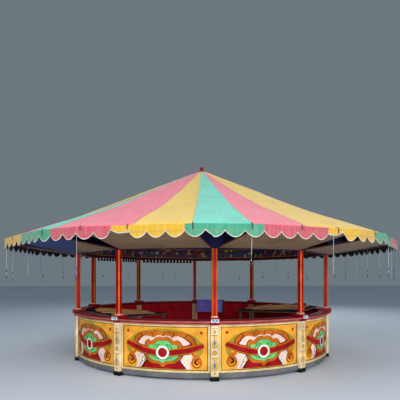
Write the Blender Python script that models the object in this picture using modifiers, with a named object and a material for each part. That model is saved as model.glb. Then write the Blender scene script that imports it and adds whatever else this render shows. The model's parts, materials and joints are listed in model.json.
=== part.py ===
"""Fairground round stall: round counter, ten posts, flat lift-up shutters and a canvas roof.

Metres, +Z up. The origin is the middle of the stall on the ground, and a post stands on -Y.
Bays and posts are numbered anticlockwise from there, seen from above.
"""
from math import asin, atan2, cos, floor, hypot, pi, radians, sin, tan

import bmesh
import bpy
from mathutils import Matrix, Vector

# ---------------------------------------------------------------- driving dimensions (metres)
SIDES = 10                      # bays, and as many posts
POST_CIRCLE_RADIUS = 2.45       # centre of the stall to the centre of each post
TOUCH_GAP = 0.0003              # left between two pieces that touch
BAY_STRIPS = 12                 # short flats that make up one bay of the round counter

POST_WIDTH = 0.08               # square shaft above the counter
POST_CHAMFER = 0.014            # flat on each arris of the shaft
COLLAR_HEIGHT = 0.025           # small foot moulding where the shaft leaves the counter
COLLAR_PROUD = 0.010
PILASTER_WIDTH = 0.12           # boxed part of the post below the counter
PILASTER_PROUD = 0.008          # past the face of the shaft
CAPITAL_WIDTH = 0.13            # carved block where the counter rails meet
CAPITAL_PROUD = 0.005           # past the nose of the counter rail
CAPITAL_BACK = 0.135            # past the post's centre, inwards
CAPITAL_HEIGHT = 0.068
CAPITAL_RISE = 0.036            # top of the counter to the top of the block
FOOT_WIDTH = 0.13
FOOT_DEPTH = 0.11
FOOT_HEIGHT = 0.063

COUNTER_TOP = 0.888             # height of the counter rail's top
RAIL_HEIGHT = 0.068             # top board with its mouldings
RAIL_BOARD = 0.030              # thickness of the flat board behind the mouldings
RAIL_OUTWARD = 0.095            # past the circle of the posts
RAIL_INWARD = 0.125
RAIL_END_GAP = 0.0005           # each end of a rail to the capital

PANEL_THICKNESS = 0.018
PANEL_FRAME_PROUD = 0.012       # raised frame round the painted field
PANEL_FRAME_WIDTH = 0.032
PANEL_SIDE_GAP = 0.004          # to the pilaster

SILL_BOTTOM = 0.036
SILL_TOP = 0.115
SILL_WIDTH = 0.090
SILL_FOOT_GAP = 0.003           # round each foot and pilaster that the sill is notched for

HEADER_UNDERSIDE = 1.940        # top of the posts
HEADER_HEIGHT = 0.300
HEADER_THICKNESS = 0.045

SHUTTER_SIDE_GAP = 0.042        # end of a shutter to the middle of the post beside it
SHUTTER_LENGTH = 1.150          # hinge line to free edge
SHUTTER_THICKNESS = 0.022
SHUTTER_RISE = radians(8.0)     # above level when propped open
SHUTTER_FRAME_WIDTH = 0.050
SHUTTER_FIELD_DEPTH = 0.004
HINGE_OUTWARD = 0.020           # face of the header to the hinge line
HINGE_HEIGHT = 0.015            # above the underside of the header
HINGE_BARREL_RADIUS = 0.011
HINGE_BARREL_MARGIN = 0.060     # each end of the barrel to the edge of the shutter

ROOF_KNEE_SHARE = 0.675         # how far out from the middle the roof flattens
ROOF_KNEE_RISE = 0.460          # edge of the canvas to the knee
ROOF_PEAK_RISE = 1.100          # knee to the peak
EAVE_OVER_SHUTTER = 0.024       # free edge of an open shutter to the top of the canvas edge
EAVE_GAP = 0.055                # free edge of a level shutter to the canvas edge
EAVE_SIDE_MARGIN = 0.064        # past each end of the shutter
CANVAS_THICKNESS = 0.004
CANVAS_HOLE_RADIUS = 0.030
CANVAS_CLEARANCE = 0.006        # rafter to canvas

VALANCE_DROP = 0.165
SCALLOPS = 96
SCALLOP_DEPTH = 0.080
VALANCE_THICKNESS = 0.003

RAFTER_WIDTH = 0.045
RAFTER_DEPTH = 0.070
RAFTER_END_GAP = 0.030          # rafter tip to the canvas edge
STRUT_DEPTH = 0.040             # upright from the header to the rafter, along the rafter

HUB_RADIUS = 0.110
HUB_HEIGHT = 0.140
HUB_SPINDLE_RADIUS = 0.015
FINIAL_FLANGE_RADIUS = 0.050
FINIAL_FLANGE_HEIGHT = 0.018
FINIAL_BALL_RADIUS = 0.040

EAVE_ROPE_RADIUS = 0.005
EAVE_ROPE_INSET = 0.014         # canvas edge to the rope's centre
EAVE_ROPE_DROP = 0.024          # top of the canvas to the rope's centre
HOOK_LINE_RADIUS = 0.002
HOOK_LINE_LENGTH = 0.700
# directions of the hanging lines, in degrees from the first post towards +X
HOOK_LINE_DIRECTIONS = (5, 24, 50, 61, 73, 83, 91, 99, 106, 112, 120, 125, 135, 141, 147, 158, 164,
                        188, 194, 198, 210, 222, 234, 243, 254, 266, 279, 291, 319, 330)

SHELF_BELOW_COUNTER = 0.088     # top of the counter to the low tip of a display board
SHELF_RISE = 0.070              # tip to the middle of the outer edge
SHELF_BEHIND_POSTS = 0.020      # back of the capitals to the corners of the display boards
SHELF_THICKNESS = 0.020
SHELF_LEFT_START = 255          # degrees, as for the lines
SHELF_LEFT_END = 321
SHELF_LEFT_TIP = 284
SHELF_LEFT_TIP_RADIUS = 0.680
SHELF_RIGHT_START = 39
SHELF_RIGHT_END = 141
SHELF_RIGHT_TIP = 114
SHELF_RIGHT_TIP_RADIUS = 0.810
SHELF_LEG_WIDTH = 0.045
SHELF_LEG_INSET = 0.120
SHELF_BATTENS = 5
BATTEN_WIDTH = 0.040
BATTEN_HEIGHT = 0.022
BATTEN_END_GAP = 0.060          # outer edge of the board to the end of a batten
BATTEN_SHARE = 0.70             # part of the way to the tip that a batten covers

PRIZE_BOX_WIDTH = 0.660         # two compartments side by side
PRIZE_BOX_DEPTH = 0.260
PRIZE_BOX_HEIGHT = 0.300
PRIZE_BOX_WALL = 0.014
PRIZE_BOX_RISE = 0.040          # above the top of the counter
PRIZE_BOX_BAY = 5
PRIZE_BOX_SHIFT = 0.280         # middle of the bay to the middle of the box, along the rail

# ---------------------------------------------------------------- sizes that follow from them
STEP = 2 * pi / SIDES
HALF_STEP = STEP / 2
BAY_HALF_CHORD = POST_CIRCLE_RADIUS * sin(HALF_STEP)
BAY_APOTHEM = POST_CIRCLE_RADIUS * cos(HALF_STEP)
POST_FIRST_ANGLE = -pi / 2
BAY_FIRST_ANGLE = POST_FIRST_ANGLE + HALF_STEP
PILASTER_FRONT = POST_WIDTH / 2 + PILASTER_PROUD
CAPITAL_TOP = COUNTER_TOP + CAPITAL_RISE
CAPITAL_LOW = CAPITAL_TOP - CAPITAL_HEIGHT
CAPITAL_FRONT = RAIL_OUTWARD + CAPITAL_PROUD
HEADER_FACE = BAY_APOTHEM + HEADER_THICKNESS / 2
HINGE_Y = HEADER_FACE + HINGE_OUTWARD
HINGE_Z = HEADER_UNDERSIDE + HINGE_HEIGHT
SHUTTER_WIDTH = 2 * (BAY_HALF_CHORD - SHUTTER_SIDE_GAP)
EAVE_HEIGHT = HINGE_Z + SHUTTER_LENGTH * sin(SHUTTER_RISE) + SHUTTER_THICKNESS / 2 + EAVE_OVER_SHUTTER
ROOF_KNEE = EAVE_HEIGHT + ROOF_KNEE_RISE
ROOF_PEAK = ROOF_KNEE + ROOF_PEAK_RISE
EAVE_APOTHEM = HINGE_Y + SHUTTER_LENGTH + EAVE_GAP
EAVE_HALF_SIDE = SHUTTER_WIDTH / 2 + EAVE_SIDE_MARGIN
EAVE_CORNER_ANGLE = atan2(EAVE_HALF_SIDE, EAVE_APOTHEM)
EAVE_CORNER_RADIUS = hypot(EAVE_HALF_SIDE, EAVE_APOTHEM)
EAVE_GAP_ANGLE = HALF_STEP - EAVE_CORNER_ANGLE
EAVE_GAP_APOTHEM = EAVE_CORNER_RADIUS * cos(EAVE_GAP_ANGLE)
SHELF_TOP = COUNTER_TOP - SHELF_BELOW_COUNTER
SHELF_OUTER_RADIUS = POST_CIRCLE_RADIUS - CAPITAL_BACK - SHELF_BEHIND_POSTS

# ---------------------------------------------------------------- paints and timbers
FINISHES = {
    "post_red": ((0.62, 0.012, 0.012), 0.35, 0.0),
    "panel_gold": ((0.80, 0.43, 0.08), 0.45, 0.0),
    "rail_crimson": ((0.50, 0.015, 0.035), 0.35, 0.0),
    "shutter_brown": ((0.20, 0.13, 0.09), 0.60, 0.0),
    "header_dark": ((0.07, 0.02, 0.03), 0.50, 0.0),
    "sill_grey": ((0.22, 0.22, 0.23), 0.60, 0.0),
    "rafter_navy": ((0.03, 0.04, 0.09), 0.55, 0.0),
    "hub_iron": ((0.10, 0.10, 0.11), 0.45, 0.8),
    "finial_red": ((0.55, 0.01, 0.02), 0.30, 0.0),
    "canvas_pink": ((0.85, 0.25, 0.33), 0.85, 0.0),
    "valance_yellow": ((0.88, 0.58, 0.05), 0.85, 0.0),
    "line_white": ((0.75, 0.75, 0.72), 0.80, 0.0),
    "shelf_timber": ((0.30, 0.17, 0.08), 0.60, 0.0),
    "box_purple": ((0.20, 0.12, 0.45), 0.50, 0.0),
}


# ---------------------------------------------------------------- small tools
def clear_scene():
    """Empty the file and its leftover meshes and curves."""
    for item in list(bpy.data.objects):
        bpy.data.objects.remove(item, do_unlink=True)
    for mesh in list(bpy.data.meshes):
        bpy.data.meshes.remove(mesh)


def make_material(finish):
    """Return the Principled material of one finish, made once."""
    found = bpy.data.materials.get(finish)
    if found:
        return found
    colour, roughness, metallic = FINISHES[finish]
    material = bpy.data.materials.new(finish)
    material.use_nodes = True
    shader = material.node_tree.nodes["Principled BSDF"]
    shader.inputs["Base Color"].default_value = (*colour, 1.0)
    shader.inputs["Roughness"].default_value = roughness
    shader.inputs["Metallic"].default_value = metallic
    return material


def mesh_from(bm, name, smooth_angle=None):
    """Turn a bmesh into a mesh with outward faces."""
    bmesh.ops.recalc_face_normals(bm, faces=bm.faces)
    mesh = bpy.data.meshes.new(name)
    bm.to_mesh(mesh)
    bm.free()
    if smooth_angle is not None:
        mesh.shade_smooth()
        mesh.set_sharp_from_angle(angle=smooth_angle)
    return mesh


def add_object(name, mesh, finish, angle=0.0, location=(0, 0, 0), tilt=0.0):
    """Place a mesh as one named piece, turned about Z so that its +Y points along angle."""
    item = bpy.data.objects.new(name, mesh)
    stall.objects.link(item)
    if not mesh.materials:
        mesh.materials.append(make_material(finish))
    item.rotation_euler = (tilt, 0.0, angle)
    item.location = location
    return item


def outward_turn(angle):
    """Rotation about Z that turns local +Y to the direction angle."""
    return angle - pi / 2


def bay_angle(number):
    """Direction of the middle of a bay, from 1."""
    return BAY_FIRST_ANGLE + (number - 1) * STEP


def post_angle(number):
    """Direction of a post, from 1."""
    return POST_FIRST_ANGLE + (number - 1) * STEP


def add_box(bm, low, high):
    """Add a box between two corners, and return its vertices."""
    low, high = Vector(low), Vector(high)
    place = Matrix.Translation((low + high) / 2) @ Matrix.Diagonal((*(high - low), 1))
    return bmesh.ops.create_cube(bm, size=1, matrix=place)["verts"]


def box_mesh(name, low, high):
    """Return a mesh of one box."""
    bm = bmesh.new()
    add_box(bm, low, high)
    return mesh_from(bm, name)


def combine(name, base, tools, operation="UNION"):
    """Return the mesh of a base joined with, or cut by, each tool mesh in turn."""
    body = bpy.data.objects.new(name, base)
    cutters.objects.link(body)
    helpers = []
    for tool in tools:
        helper = bpy.data.objects.new(name + "_tool", tool)
        helper.hide_render = True
        helper.display_type = "WIRE"
        cutters.objects.link(helper)
        helpers.append(helper)
        step = body.modifiers.new("Boolean", "BOOLEAN")
        step.operation = operation
        step.solver = "EXACT"
        step.object = helper
    view = bpy.context.evaluated_depsgraph_get()
    view.update()
    result = bpy.data.meshes.new_from_object(body.evaluated_get(view))
    result.name = name
    for item in [body] + helpers:
        bpy.data.objects.remove(item, do_unlink=True)
    return result


def prism(bm, outline, axis_from, axis_to, place):
    """Extrude a flat outline along its third axis. place maps (u, v, along) to a point."""
    face = bm.faces.new([bm.verts.new(place(u, v, axis_from)) for u, v in outline])
    moved = bmesh.ops.extrude_face_region(bm, geom=[face])["geom"]
    ends = [item for item in moved if isinstance(item, bmesh.types.BMVert)]
    shift = Vector(place(0, 0, axis_to)) - Vector(place(0, 0, axis_from))
    bmesh.ops.translate(bm, verts=ends, vec=shift)


def polygon_prism(name, apothem, low, high):
    """Return a solid decagon whose flat sides face the bays."""
    bm = bmesh.new()
    turn = Matrix.Rotation(outward_turn(POST_FIRST_ANGLE), 4, "Z")
    place = Matrix.Translation((0, 0, (low + high) / 2)) @ turn
    radius = apothem / cos(HALF_STEP)
    bmesh.ops.create_cone(bm, cap_ends=True, segments=SIDES, radius1=radius, radius2=radius,
                          depth=high - low, matrix=place)
    return mesh_from(bm, name)


def decagon_ring(name, inner, outer, low, high):
    """Return a decagonal ring between two apothems."""
    margin = 0.01
    hollow = polygon_prism(name + "_hollow", inner, low - margin, high + margin)
    return combine(name, polygon_prism(name, outer, low, high), [hollow], "DIFFERENCE")


def turned(name, profile, steps=32):
    """Spin a closed profile of (radius, height) points round Z."""
    bm = bmesh.new()
    rows = [bm.verts.new((radius, 0, height)) for radius, height in profile]
    edges = [bm.edges.new(pair) for pair in zip(rows, rows[1:])]
    bmesh.ops.spin(bm, geom=rows + edges, axis=(0, 0, 1), cent=(0, 0, 0), angle=2 * pi,
                   steps=steps, use_merge=True)
    bmesh.ops.remove_doubles(bm, verts=bm.verts, dist=0.00005)
    return mesh_from(bm, name, radians(35))


def bay_length(clear):
    """Length of a bay along the circle of the posts, with some left clear beside each post."""
    return 2 * POST_CIRCLE_RADIUS * (HALF_STEP - asin(clear / POST_CIRCLE_RADIUS))


def bend(bm, clear, cuts=()):
    """Bend a straight bar of one bay's length round the stall. Its Y is its distance from the middle."""
    half = bay_length(clear) / 2
    evenly = [half * (2 * count / BAY_STRIPS - 1) for count in range(1, BAY_STRIPS)]
    for cut in evenly + list(cuts):
        bmesh.ops.bisect_plane(bm, geom=bm.verts[:] + bm.edges[:] + bm.faces[:], dist=0.00001,
                               plane_co=(cut, 0, 0), plane_no=(1, 0, 0))
    for vert in bm.verts:
        radius = vert.co.y
        angle = vert.co.x / half * (HALF_STEP - asin(clear / radius))
        vert.co.x = radius * sin(angle)
        vert.co.y = radius * cos(angle)


# ---------------------------------------------------------------- the roof's shape
def eave_radius(angle):
    """Distance from the middle to the canvas edge in a direction."""
    offset = angle - BAY_FIRST_ANGLE
    offset -= STEP * floor(offset / STEP + 0.5)
    if abs(offset) <= EAVE_CORNER_ANGLE:
        return EAVE_APOTHEM / cos(offset)
    return EAVE_GAP_APOTHEM / cos(HALF_STEP - abs(offset))


def canvas_top(share):
    """Height of the canvas at a share of the way from the middle to its edge."""
    if share < ROOF_KNEE_SHARE:
        return ROOF_PEAK + (ROOF_KNEE - ROOF_PEAK) * share / ROOF_KNEE_SHARE
    rest = (share - ROOF_KNEE_SHARE) / (1 - ROOF_KNEE_SHARE)
    return ROOF_KNEE + (EAVE_HEIGHT - ROOF_KNEE) * rest


def eave_point(angle, inset, height):
    """A point on a line that runs beside the canvas edge."""
    radius = eave_radius(angle) - inset
    return Vector((radius * cos(angle), radius * sin(angle), height))


# ---------------------------------------------------------------- pieces of the counter
def make_posts():
    """Ten posts, each one timber from foot to header."""
    bm = bmesh.new()
    half = POST_WIDTH / 2
    shaft = add_box(bm, (-half, -half, COUNTER_TOP - RAIL_HEIGHT), (half, half, HEADER_UNDERSIDE))
    upright = [edge for edge in bm.edges if abs(edge.verts[0].co.z - edge.verts[1].co.z) > half]
    bmesh.ops.bevel(bm, geom=upright, offset=POST_CHAMFER, segments=1, affect="EDGES",
                    profile=0.5, material=-1)
    shaft_mesh = mesh_from(bm, "post")
    side = PILASTER_WIDTH / 2
    pilaster = box_mesh("pilaster", (-side, -half, FOOT_HEIGHT / 2),
                        (side, PILASTER_FRONT, CAPITAL_TOP - CAPITAL_HEIGHT / 2))
    side = CAPITAL_WIDTH / 2
    capital = box_mesh("capital", (-side, -CAPITAL_BACK, CAPITAL_LOW), (side, CAPITAL_FRONT, CAPITAL_TOP))
    side = half + COLLAR_PROUD
    collar = box_mesh("collar", (-side, -side, CAPITAL_TOP - CAPITAL_HEIGHT / 2),
                      (side, side, CAPITAL_TOP + COLLAR_HEIGHT))
    side = FOOT_WIDTH / 2
    foot = box_mesh("foot", (-side, -FOOT_DEPTH / 2, 0), (side, FOOT_DEPTH / 2, FOOT_HEIGHT))
    mesh = combine("post", shaft_mesh, [pilaster, capital, collar, foot])
    for number in range(1, SIDES + 1):
        angle = post_angle(number)
        place = (POST_CIRCLE_RADIUS * cos(angle), POST_CIRCLE_RADIUS * sin(angle), 0)
        add_object(f"post_{number:02d}", mesh, "post_red", outward_turn(angle), place)


def make_panels():
    """Ten painted boards, bent to the round, that close the bays below the counter."""
    clear = PILASTER_WIDTH / 2 + PANEL_SIDE_GAP
    half = bay_length(clear) / 2
    low = SILL_TOP + TOUCH_GAP
    high = COUNTER_TOP - RAIL_HEIGHT - TOUCH_GAP
    bevel = PANEL_FRAME_PROUD / 2
    bm = bmesh.new()
    add_box(bm, (-half, POST_CIRCLE_RADIUS - PANEL_THICKNESS, low),
            (half, POST_CIRCLE_RADIUS + PANEL_FRAME_PROUD, high))
    front = [face for face in bm.faces if face.normal.y > 0.5]
    bmesh.ops.inset_individual(bm, faces=front, thickness=PANEL_FRAME_WIDTH, use_even_offset=True)
    bmesh.ops.inset_individual(bm, faces=front, thickness=bevel, depth=-PANEL_FRAME_PROUD,
                               use_even_offset=True)
    frame = half - PANEL_FRAME_WIDTH
    bend(bm, clear, (-frame, bevel - frame, frame - bevel, frame))
    mesh = mesh_from(bm, "counter_panel")
    for number in range(1, SIDES + 1):
        add_object(f"counter_panel_{number:02d}", mesh, "panel_gold", outward_turn(bay_angle(number)))


def make_rails():
    """Ten moulded counter rails, bent to the round and cut to the capitals at both ends."""
    top = COUNTER_TOP
    circle = POST_CIRCLE_RADIUS
    outer = circle + RAIL_OUTWARD
    inner = circle - RAIL_INWARD
    bottom = top - RAIL_HEIGHT
    under = top - RAIL_BOARD
    nose = 0.010
    step = RAIL_OUTWARD / 3
    ledge = (RAIL_HEIGHT - RAIL_BOARD) / 2
    outline = [
        (inner, under), (circle - PANEL_THICKNESS, under), (circle - PANEL_THICKNESS, bottom),
        (circle + step, bottom), (circle + step, bottom + ledge),
        (outer - step, bottom + ledge), (outer - step, under), (outer, under),
        (outer, top - nose), (outer - nose, top), (inner, top),
    ]
    clear = max(CAPITAL_WIDTH, PILASTER_WIDTH) / 2 + RAIL_END_GAP
    half = bay_length(clear) / 2
    bm = bmesh.new()
    prism(bm, outline, -half, half, lambda u, v, along: (along, u, v))
    bend(bm, clear)
    mesh = mesh_from(bm, "counter_rail")
    for number in range(1, SIDES + 1):
        add_object(f"counter_rail_{number:02d}", mesh, "rail_crimson", outward_turn(bay_angle(number)))


def make_sill():
    """One round ground sill, notched round the feet of the posts."""
    outer = POST_CIRCLE_RADIUS + PANEL_FRAME_PROUD / 2
    inner = outer - SILL_WIDTH
    ring = turned("base_sill", [(inner, SILL_BOTTOM), (outer, SILL_BOTTOM), (outer, SILL_TOP),
                                (inner, SILL_TOP), (inner, SILL_BOTTOM)], SIDES * BAY_STRIPS)
    side = max(FOOT_WIDTH, PILASTER_WIDTH) / 2 + SILL_FOOT_GAP
    notches = []
    for number in range(1, SIDES + 1):
        angle = post_angle(number)
        bm = bmesh.new()
        add_box(bm, (-side, POST_CIRCLE_RADIUS - FOOT_DEPTH / 2 - SILL_FOOT_GAP, 0),
                (side, POST_CIRCLE_RADIUS + FOOT_DEPTH, SILL_TOP * 2))
        bmesh.ops.rotate(bm, verts=bm.verts, matrix=Matrix.Rotation(outward_turn(angle), 3, "Z"))
        notches.append(mesh_from(bm, "notch"))
    mesh = combine("base_sill", ring, notches, "DIFFERENCE")
    add_object("base_sill", mesh, "sill_grey")


# ---------------------------------------------------------------- header and shutters
def make_header():
    """One decagonal beam on the tops of the posts."""
    half = HEADER_THICKNESS / 2
    low = HEADER_UNDERSIDE + TOUCH_GAP
    mesh = decagon_ring("header_ring", BAY_APOTHEM - half, BAY_APOTHEM + half, low,
                        HEADER_UNDERSIDE + HEADER_HEIGHT)
    add_object("header_ring", mesh, "header_dark")


def make_shutters():
    """Ten lift-up shutters, propped open, each with its origin on its hinge line."""
    half = SHUTTER_THICKNESS / 2
    side = SHUTTER_WIDTH / 2
    bm = bmesh.new()
    add_box(bm, (-side, HINGE_BARREL_RADIUS / 2, -half), (side, SHUTTER_LENGTH, half))
    top = [face for face in bm.faces if face.normal.z > 0.5]
    bmesh.ops.inset_individual(bm, faces=top, thickness=SHUTTER_FRAME_WIDTH, use_even_offset=True)
    bmesh.ops.inset_individual(bm, faces=top, thickness=SHUTTER_FIELD_DEPTH,
                               depth=-SHUTTER_FIELD_DEPTH, use_even_offset=True)
    board = mesh_from(bm, "shutter")
    bm = bmesh.new()
    bmesh.ops.create_cone(bm, cap_ends=True, segments=16, radius1=HINGE_BARREL_RADIUS,
                          radius2=HINGE_BARREL_RADIUS, depth=2 * (side - HINGE_BARREL_MARGIN),
                          matrix=Matrix.Rotation(pi / 2, 4, "Y"))
    barrel = mesh_from(bm, "hinge_barrel")
    mesh = combine("shutter", board, [barrel])
    for number in range(1, SIDES + 1):
        angle = bay_angle(number)
        hinge = (HINGE_Y * cos(angle), HINGE_Y * sin(angle), HINGE_Z)
        pivot = bpy.data.objects.new(f"shutter_hinge_{number:02d}", None)
        stall.objects.link(pivot)
        pivot.location = hinge
        pivot.rotation_euler = (0, 0, outward_turn(angle))
        item = add_object(f"shutter_{number:02d}", mesh, "shutter_brown", tilt=SHUTTER_RISE)
        item.parent = pivot


# ---------------------------------------------------------------- roof
def make_rafters():
    """Ten rafters from the crown to the eave, each with its strut down to the header."""
    reach = EAVE_GAP_APOTHEM
    lower = CANVAS_THICKNESS + CANVAS_CLEARANCE
    start = HUB_RADIUS + TOUCH_GAP
    knee = ROOF_KNEE_SHARE * reach
    end = reach - RAFTER_END_GAP
    strut_in = POST_CIRCLE_RADIUS - STRUT_DEPTH / 2
    strut_out = POST_CIRCLE_RADIUS + STRUT_DEPTH / 2
    foot = HEADER_UNDERSIDE + HEADER_HEIGHT + TOUCH_GAP

    def top(radius):
        return canvas_top(radius / reach) - lower

    outline = [(start, top(start)), (start, top(start) - RAFTER_DEPTH)]
    outline += [(strut_in, top(strut_in) - RAFTER_DEPTH), (strut_in, foot), (strut_out, foot)]
    outline += [(strut_out, top(strut_out) - RAFTER_DEPTH)]
    outline += [(end, top(end) - RAFTER_DEPTH / 2), (end, top(end)), (knee, top(knee))]
    bm = bmesh.new()
    half = RAFTER_WIDTH / 2
    prism(bm, outline, -half, half, lambda u, v, along: (along, u, v))
    mesh = mesh_from(bm, "rafter")
    for number in range(1, SIDES + 1):
        add_object(f"rafter_{number:02d}", mesh, "rafter_navy", outward_turn(post_angle(number)))


def make_crown():
    """The hub that the rafters meet at, and the finial above the canvas."""
    reach = EAVE_GAP_APOTHEM
    lower = CANVAS_THICKNESS + CANVAS_CLEARANCE
    shoulder = canvas_top(HUB_RADIUS / reach) - lower
    bottom = shoulder - HUB_HEIGHT
    flange = canvas_top(CANVAS_HOLE_RADIUS / reach) + TOUCH_GAP
    profile = [(0, flange - TOUCH_GAP), (HUB_SPINDLE_RADIUS, flange - TOUCH_GAP),
               (HUB_SPINDLE_RADIUS, shoulder), (HUB_RADIUS, shoulder), (HUB_RADIUS, bottom),
               (HUB_RADIUS * 0.6, bottom - HUB_RADIUS * 0.3), (0, bottom - HUB_RADIUS * 0.3)]
    add_object("crown_hub", turned("crown_hub", profile), "hub_iron")
    ball = flange + FINIAL_FLANGE_HEIGHT + FINIAL_BALL_RADIUS * 0.8
    profile = [(0, ball + FINIAL_BALL_RADIUS)]
    turns = 8
    for count in range(1, turns):
        angle = pi / 2 - count * radians(143) / (turns - 1)
        profile.append((FINIAL_BALL_RADIUS * cos(angle), ball + FINIAL_BALL_RADIUS * sin(angle)))
    profile += [(FINIAL_FLANGE_RADIUS, flange + FINIAL_FLANGE_HEIGHT / 2),
                (FINIAL_FLANGE_RADIUS, flange), (0, flange)]
    add_object("finial", turned("finial", profile), "finial_red")


def eave_angles():
    """Directions of the canvas's columns, with one on each corner of its edge."""
    shares = (-1, -1 / 3, 1 / 3, 1)
    return [bay_angle(number) + EAVE_CORNER_ANGLE * share
            for number in range(1, SIDES + 1) for share in shares]


def make_canopy():
    """The canvas roof: one thin sheet with a hole at the peak."""
    shares = [0.22, 0.45, ROOF_KNEE_SHARE, 0.84, 1.0]
    bm = bmesh.new()
    rows = []
    for share in [None] + shares:
        row = []
        for angle in eave_angles():
            radius = CANVAS_HOLE_RADIUS if share is None else share * eave_radius(angle)
            height = canvas_top(radius / eave_radius(angle))
            row.append(bm.verts.new((radius * cos(angle), radius * sin(angle), height)))
        rows.append(row)
    for inner, outer in zip(rows, rows[1:]):
        for column in range(len(inner)):
            bm.faces.new((inner[column], outer[column], outer[column - 1], inner[column - 1]))
    mesh = mesh_from(bm, "canopy", radians(20))
    item = add_object("canopy", mesh, "canvas_pink")
    wall = item.modifiers.new("Canvas", "SOLIDIFY")
    wall.thickness = CANVAS_THICKNESS
    wall.offset = -1


def on_corner(angle, columns):
    """Move a column's direction to the canvas corner beside it, if there is one."""
    near = pi / columns
    offset = angle - BAY_FIRST_ANGLE
    middle = BAY_FIRST_ANGLE + STEP * floor(offset / STEP + 0.5)
    for corner in (middle - EAVE_CORNER_ANGLE, middle + EAVE_CORNER_ANGLE):
        if abs(angle - corner) <= near:
            return corner
    return angle


def make_valance():
    """The scalloped strip that hangs all round the canvas edge."""
    columns = SCALLOPS * 5
    bm = bmesh.new()
    top_row = []
    bottom_row = []
    for count in range(columns):
        angle = on_corner(POST_FIRST_ANGLE + 2 * pi * count / columns, columns)
        along = (count % 5) / 5
        drop = VALANCE_DROP - SCALLOP_DEPTH * (1 - sin(pi * along) ** 0.7)
        outset = -TOUCH_GAP - VALANCE_THICKNESS
        top_row.append(bm.verts.new(eave_point(angle, outset, EAVE_HEIGHT)))
        bottom_row.append(bm.verts.new(eave_point(angle, outset, EAVE_HEIGHT - drop)))
    for count in range(columns):
        bm.faces.new((top_row[count], top_row[count - 1], bottom_row[count - 1], bottom_row[count]))
    mesh = mesh_from(bm, "valance")
    item = add_object("valance", mesh, "valance_yellow")
    wall = item.modifiers.new("Canvas", "SOLIDIFY")
    wall.thickness = VALANCE_THICKNESS
    wall.offset = -1


def direction(degrees_from_post):
    """Turn degrees from the first post towards +X into an angle about Z."""
    return POST_FIRST_ANGLE + radians(degrees_from_post)


def make_hook_lines():
    """The rope inside the eave with the thin lines that hang from it, as one piece."""
    height = EAVE_HEIGHT - EAVE_ROPE_DROP
    curve = bpy.data.curves.new("eave_rope", "CURVE")
    curve.dimensions = "3D"
    curve.bevel_depth = EAVE_ROPE_RADIUS
    curve.bevel_resolution = 2
    angles = eave_angles()
    spline = curve.splines.new("POLY")
    spline.points.add(len(angles) - 1)
    for point, angle in zip(spline.points, angles):
        point.co = (*eave_point(angle, EAVE_ROPE_INSET, height), 1)
    spline.use_cyclic_u = True
    rope = bpy.data.objects.new("eave_rope", curve)
    stall.objects.link(rope)
    view = bpy.context.evaluated_depsgraph_get()
    view.update()
    ring = bpy.data.meshes.new_from_object(rope.evaluated_get(view))
    bpy.data.objects.remove(rope, do_unlink=True)
    bm = bmesh.new()
    for degrees_from_post in HOOK_LINE_DIRECTIONS:
        centre = eave_point(direction(degrees_from_post), EAVE_ROPE_INSET, height - HOOK_LINE_LENGTH / 2)
        bmesh.ops.create_cone(bm, cap_ends=True, segments=8, radius1=HOOK_LINE_RADIUS,
                              radius2=HOOK_LINE_RADIUS, depth=HOOK_LINE_LENGTH,
                              matrix=Matrix.Translation(centre))
    lines = mesh_from(bm, "hook_lines")
    add_object("hook_lines", combine("hook_lines", ring, [lines]), "line_white")


# ---------------------------------------------------------------- inside the stall
def tilt(bm, tip, middle):
    """Raise a flat board evenly, from nothing at its tip to the full rise at its outer edge."""
    slope = (middle - tip) * SHELF_RISE / (middle - tip).length_squared
    for vert in bm.verts:
        vert.co.z += (vert.co.xy - tip).dot(slope)


def shelf_mesh(name, start, end, tip_radius, tip_angle):
    """A display board that slopes from the counter to a tip, with battens and legs."""
    corners = [start] + [post_angle(number) for number in range(1, SIDES + 1)
                         if start < post_angle(number) < end] + [end]
    outline = [(SHELF_OUTER_RADIUS * cos(angle), SHELF_OUTER_RADIUS * sin(angle)) for angle in corners]
    tip = Vector((tip_radius * cos(tip_angle), tip_radius * sin(tip_angle)))
    outline.append(tuple(tip))
    middle = (Vector(outline[0]) + Vector(outline[-2])) / 2
    bm = bmesh.new()
    prism(bm, outline, SHELF_TOP - SHELF_THICKNESS, SHELF_TOP, lambda u, v, along: (u, v, along))
    tilt(bm, tip, middle)
    board = mesh_from(bm, name)
    extras = []
    for count in range(SHELF_BATTENS):
        angle = start + (end - start) * (count + 1) / (SHELF_BATTENS + 1)
        out = Vector((cos(angle), sin(angle))) * (SHELF_OUTER_RADIUS * cos(HALF_STEP) - BATTEN_END_GAP)
        run = out + (tip - out) * BATTEN_SHARE
        turn = atan2(out.y - run.y, out.x - run.x)
        place = Matrix.Translation((*((out + run) / 2), 0)) @ Matrix.Rotation(turn, 4, "Z")
        bm = bmesh.new()
        half = (out - run).length / 2
        add_box(bm, (-half, -BATTEN_WIDTH / 2, SHELF_TOP - SHELF_THICKNESS / 2),
                (half, BATTEN_WIDTH / 2, SHELF_TOP + BATTEN_HEIGHT))
        bmesh.ops.transform(bm, matrix=place, verts=bm.verts)
        tilt(bm, tip, middle)
        extras.append(mesh_from(bm, "batten"))
    centre = sum((Vector(point) for point in outline), Vector((0, 0))) / len(outline)
    for spot in (outline[0], outline[-2], outline[-1]):
        spot = Vector(spot)
        foot = spot + (centre - spot).normalized() * SHELF_LEG_INSET
        half = SHELF_LEG_WIDTH / 2
        bm = bmesh.new()
        verts = add_box(bm, (foot.x - half, foot.y - half, 0),
                        (foot.x + half, foot.y + half, SHELF_TOP - SHELF_THICKNESS / 2))
        tilt(bm, tip, middle)
        for vert in verts:
            if vert.co.z < SHELF_TOP / 2:
                vert.co.z = 0
        extras.append(mesh_from(bm, "leg"))
    return combine(name, board, extras)


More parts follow.
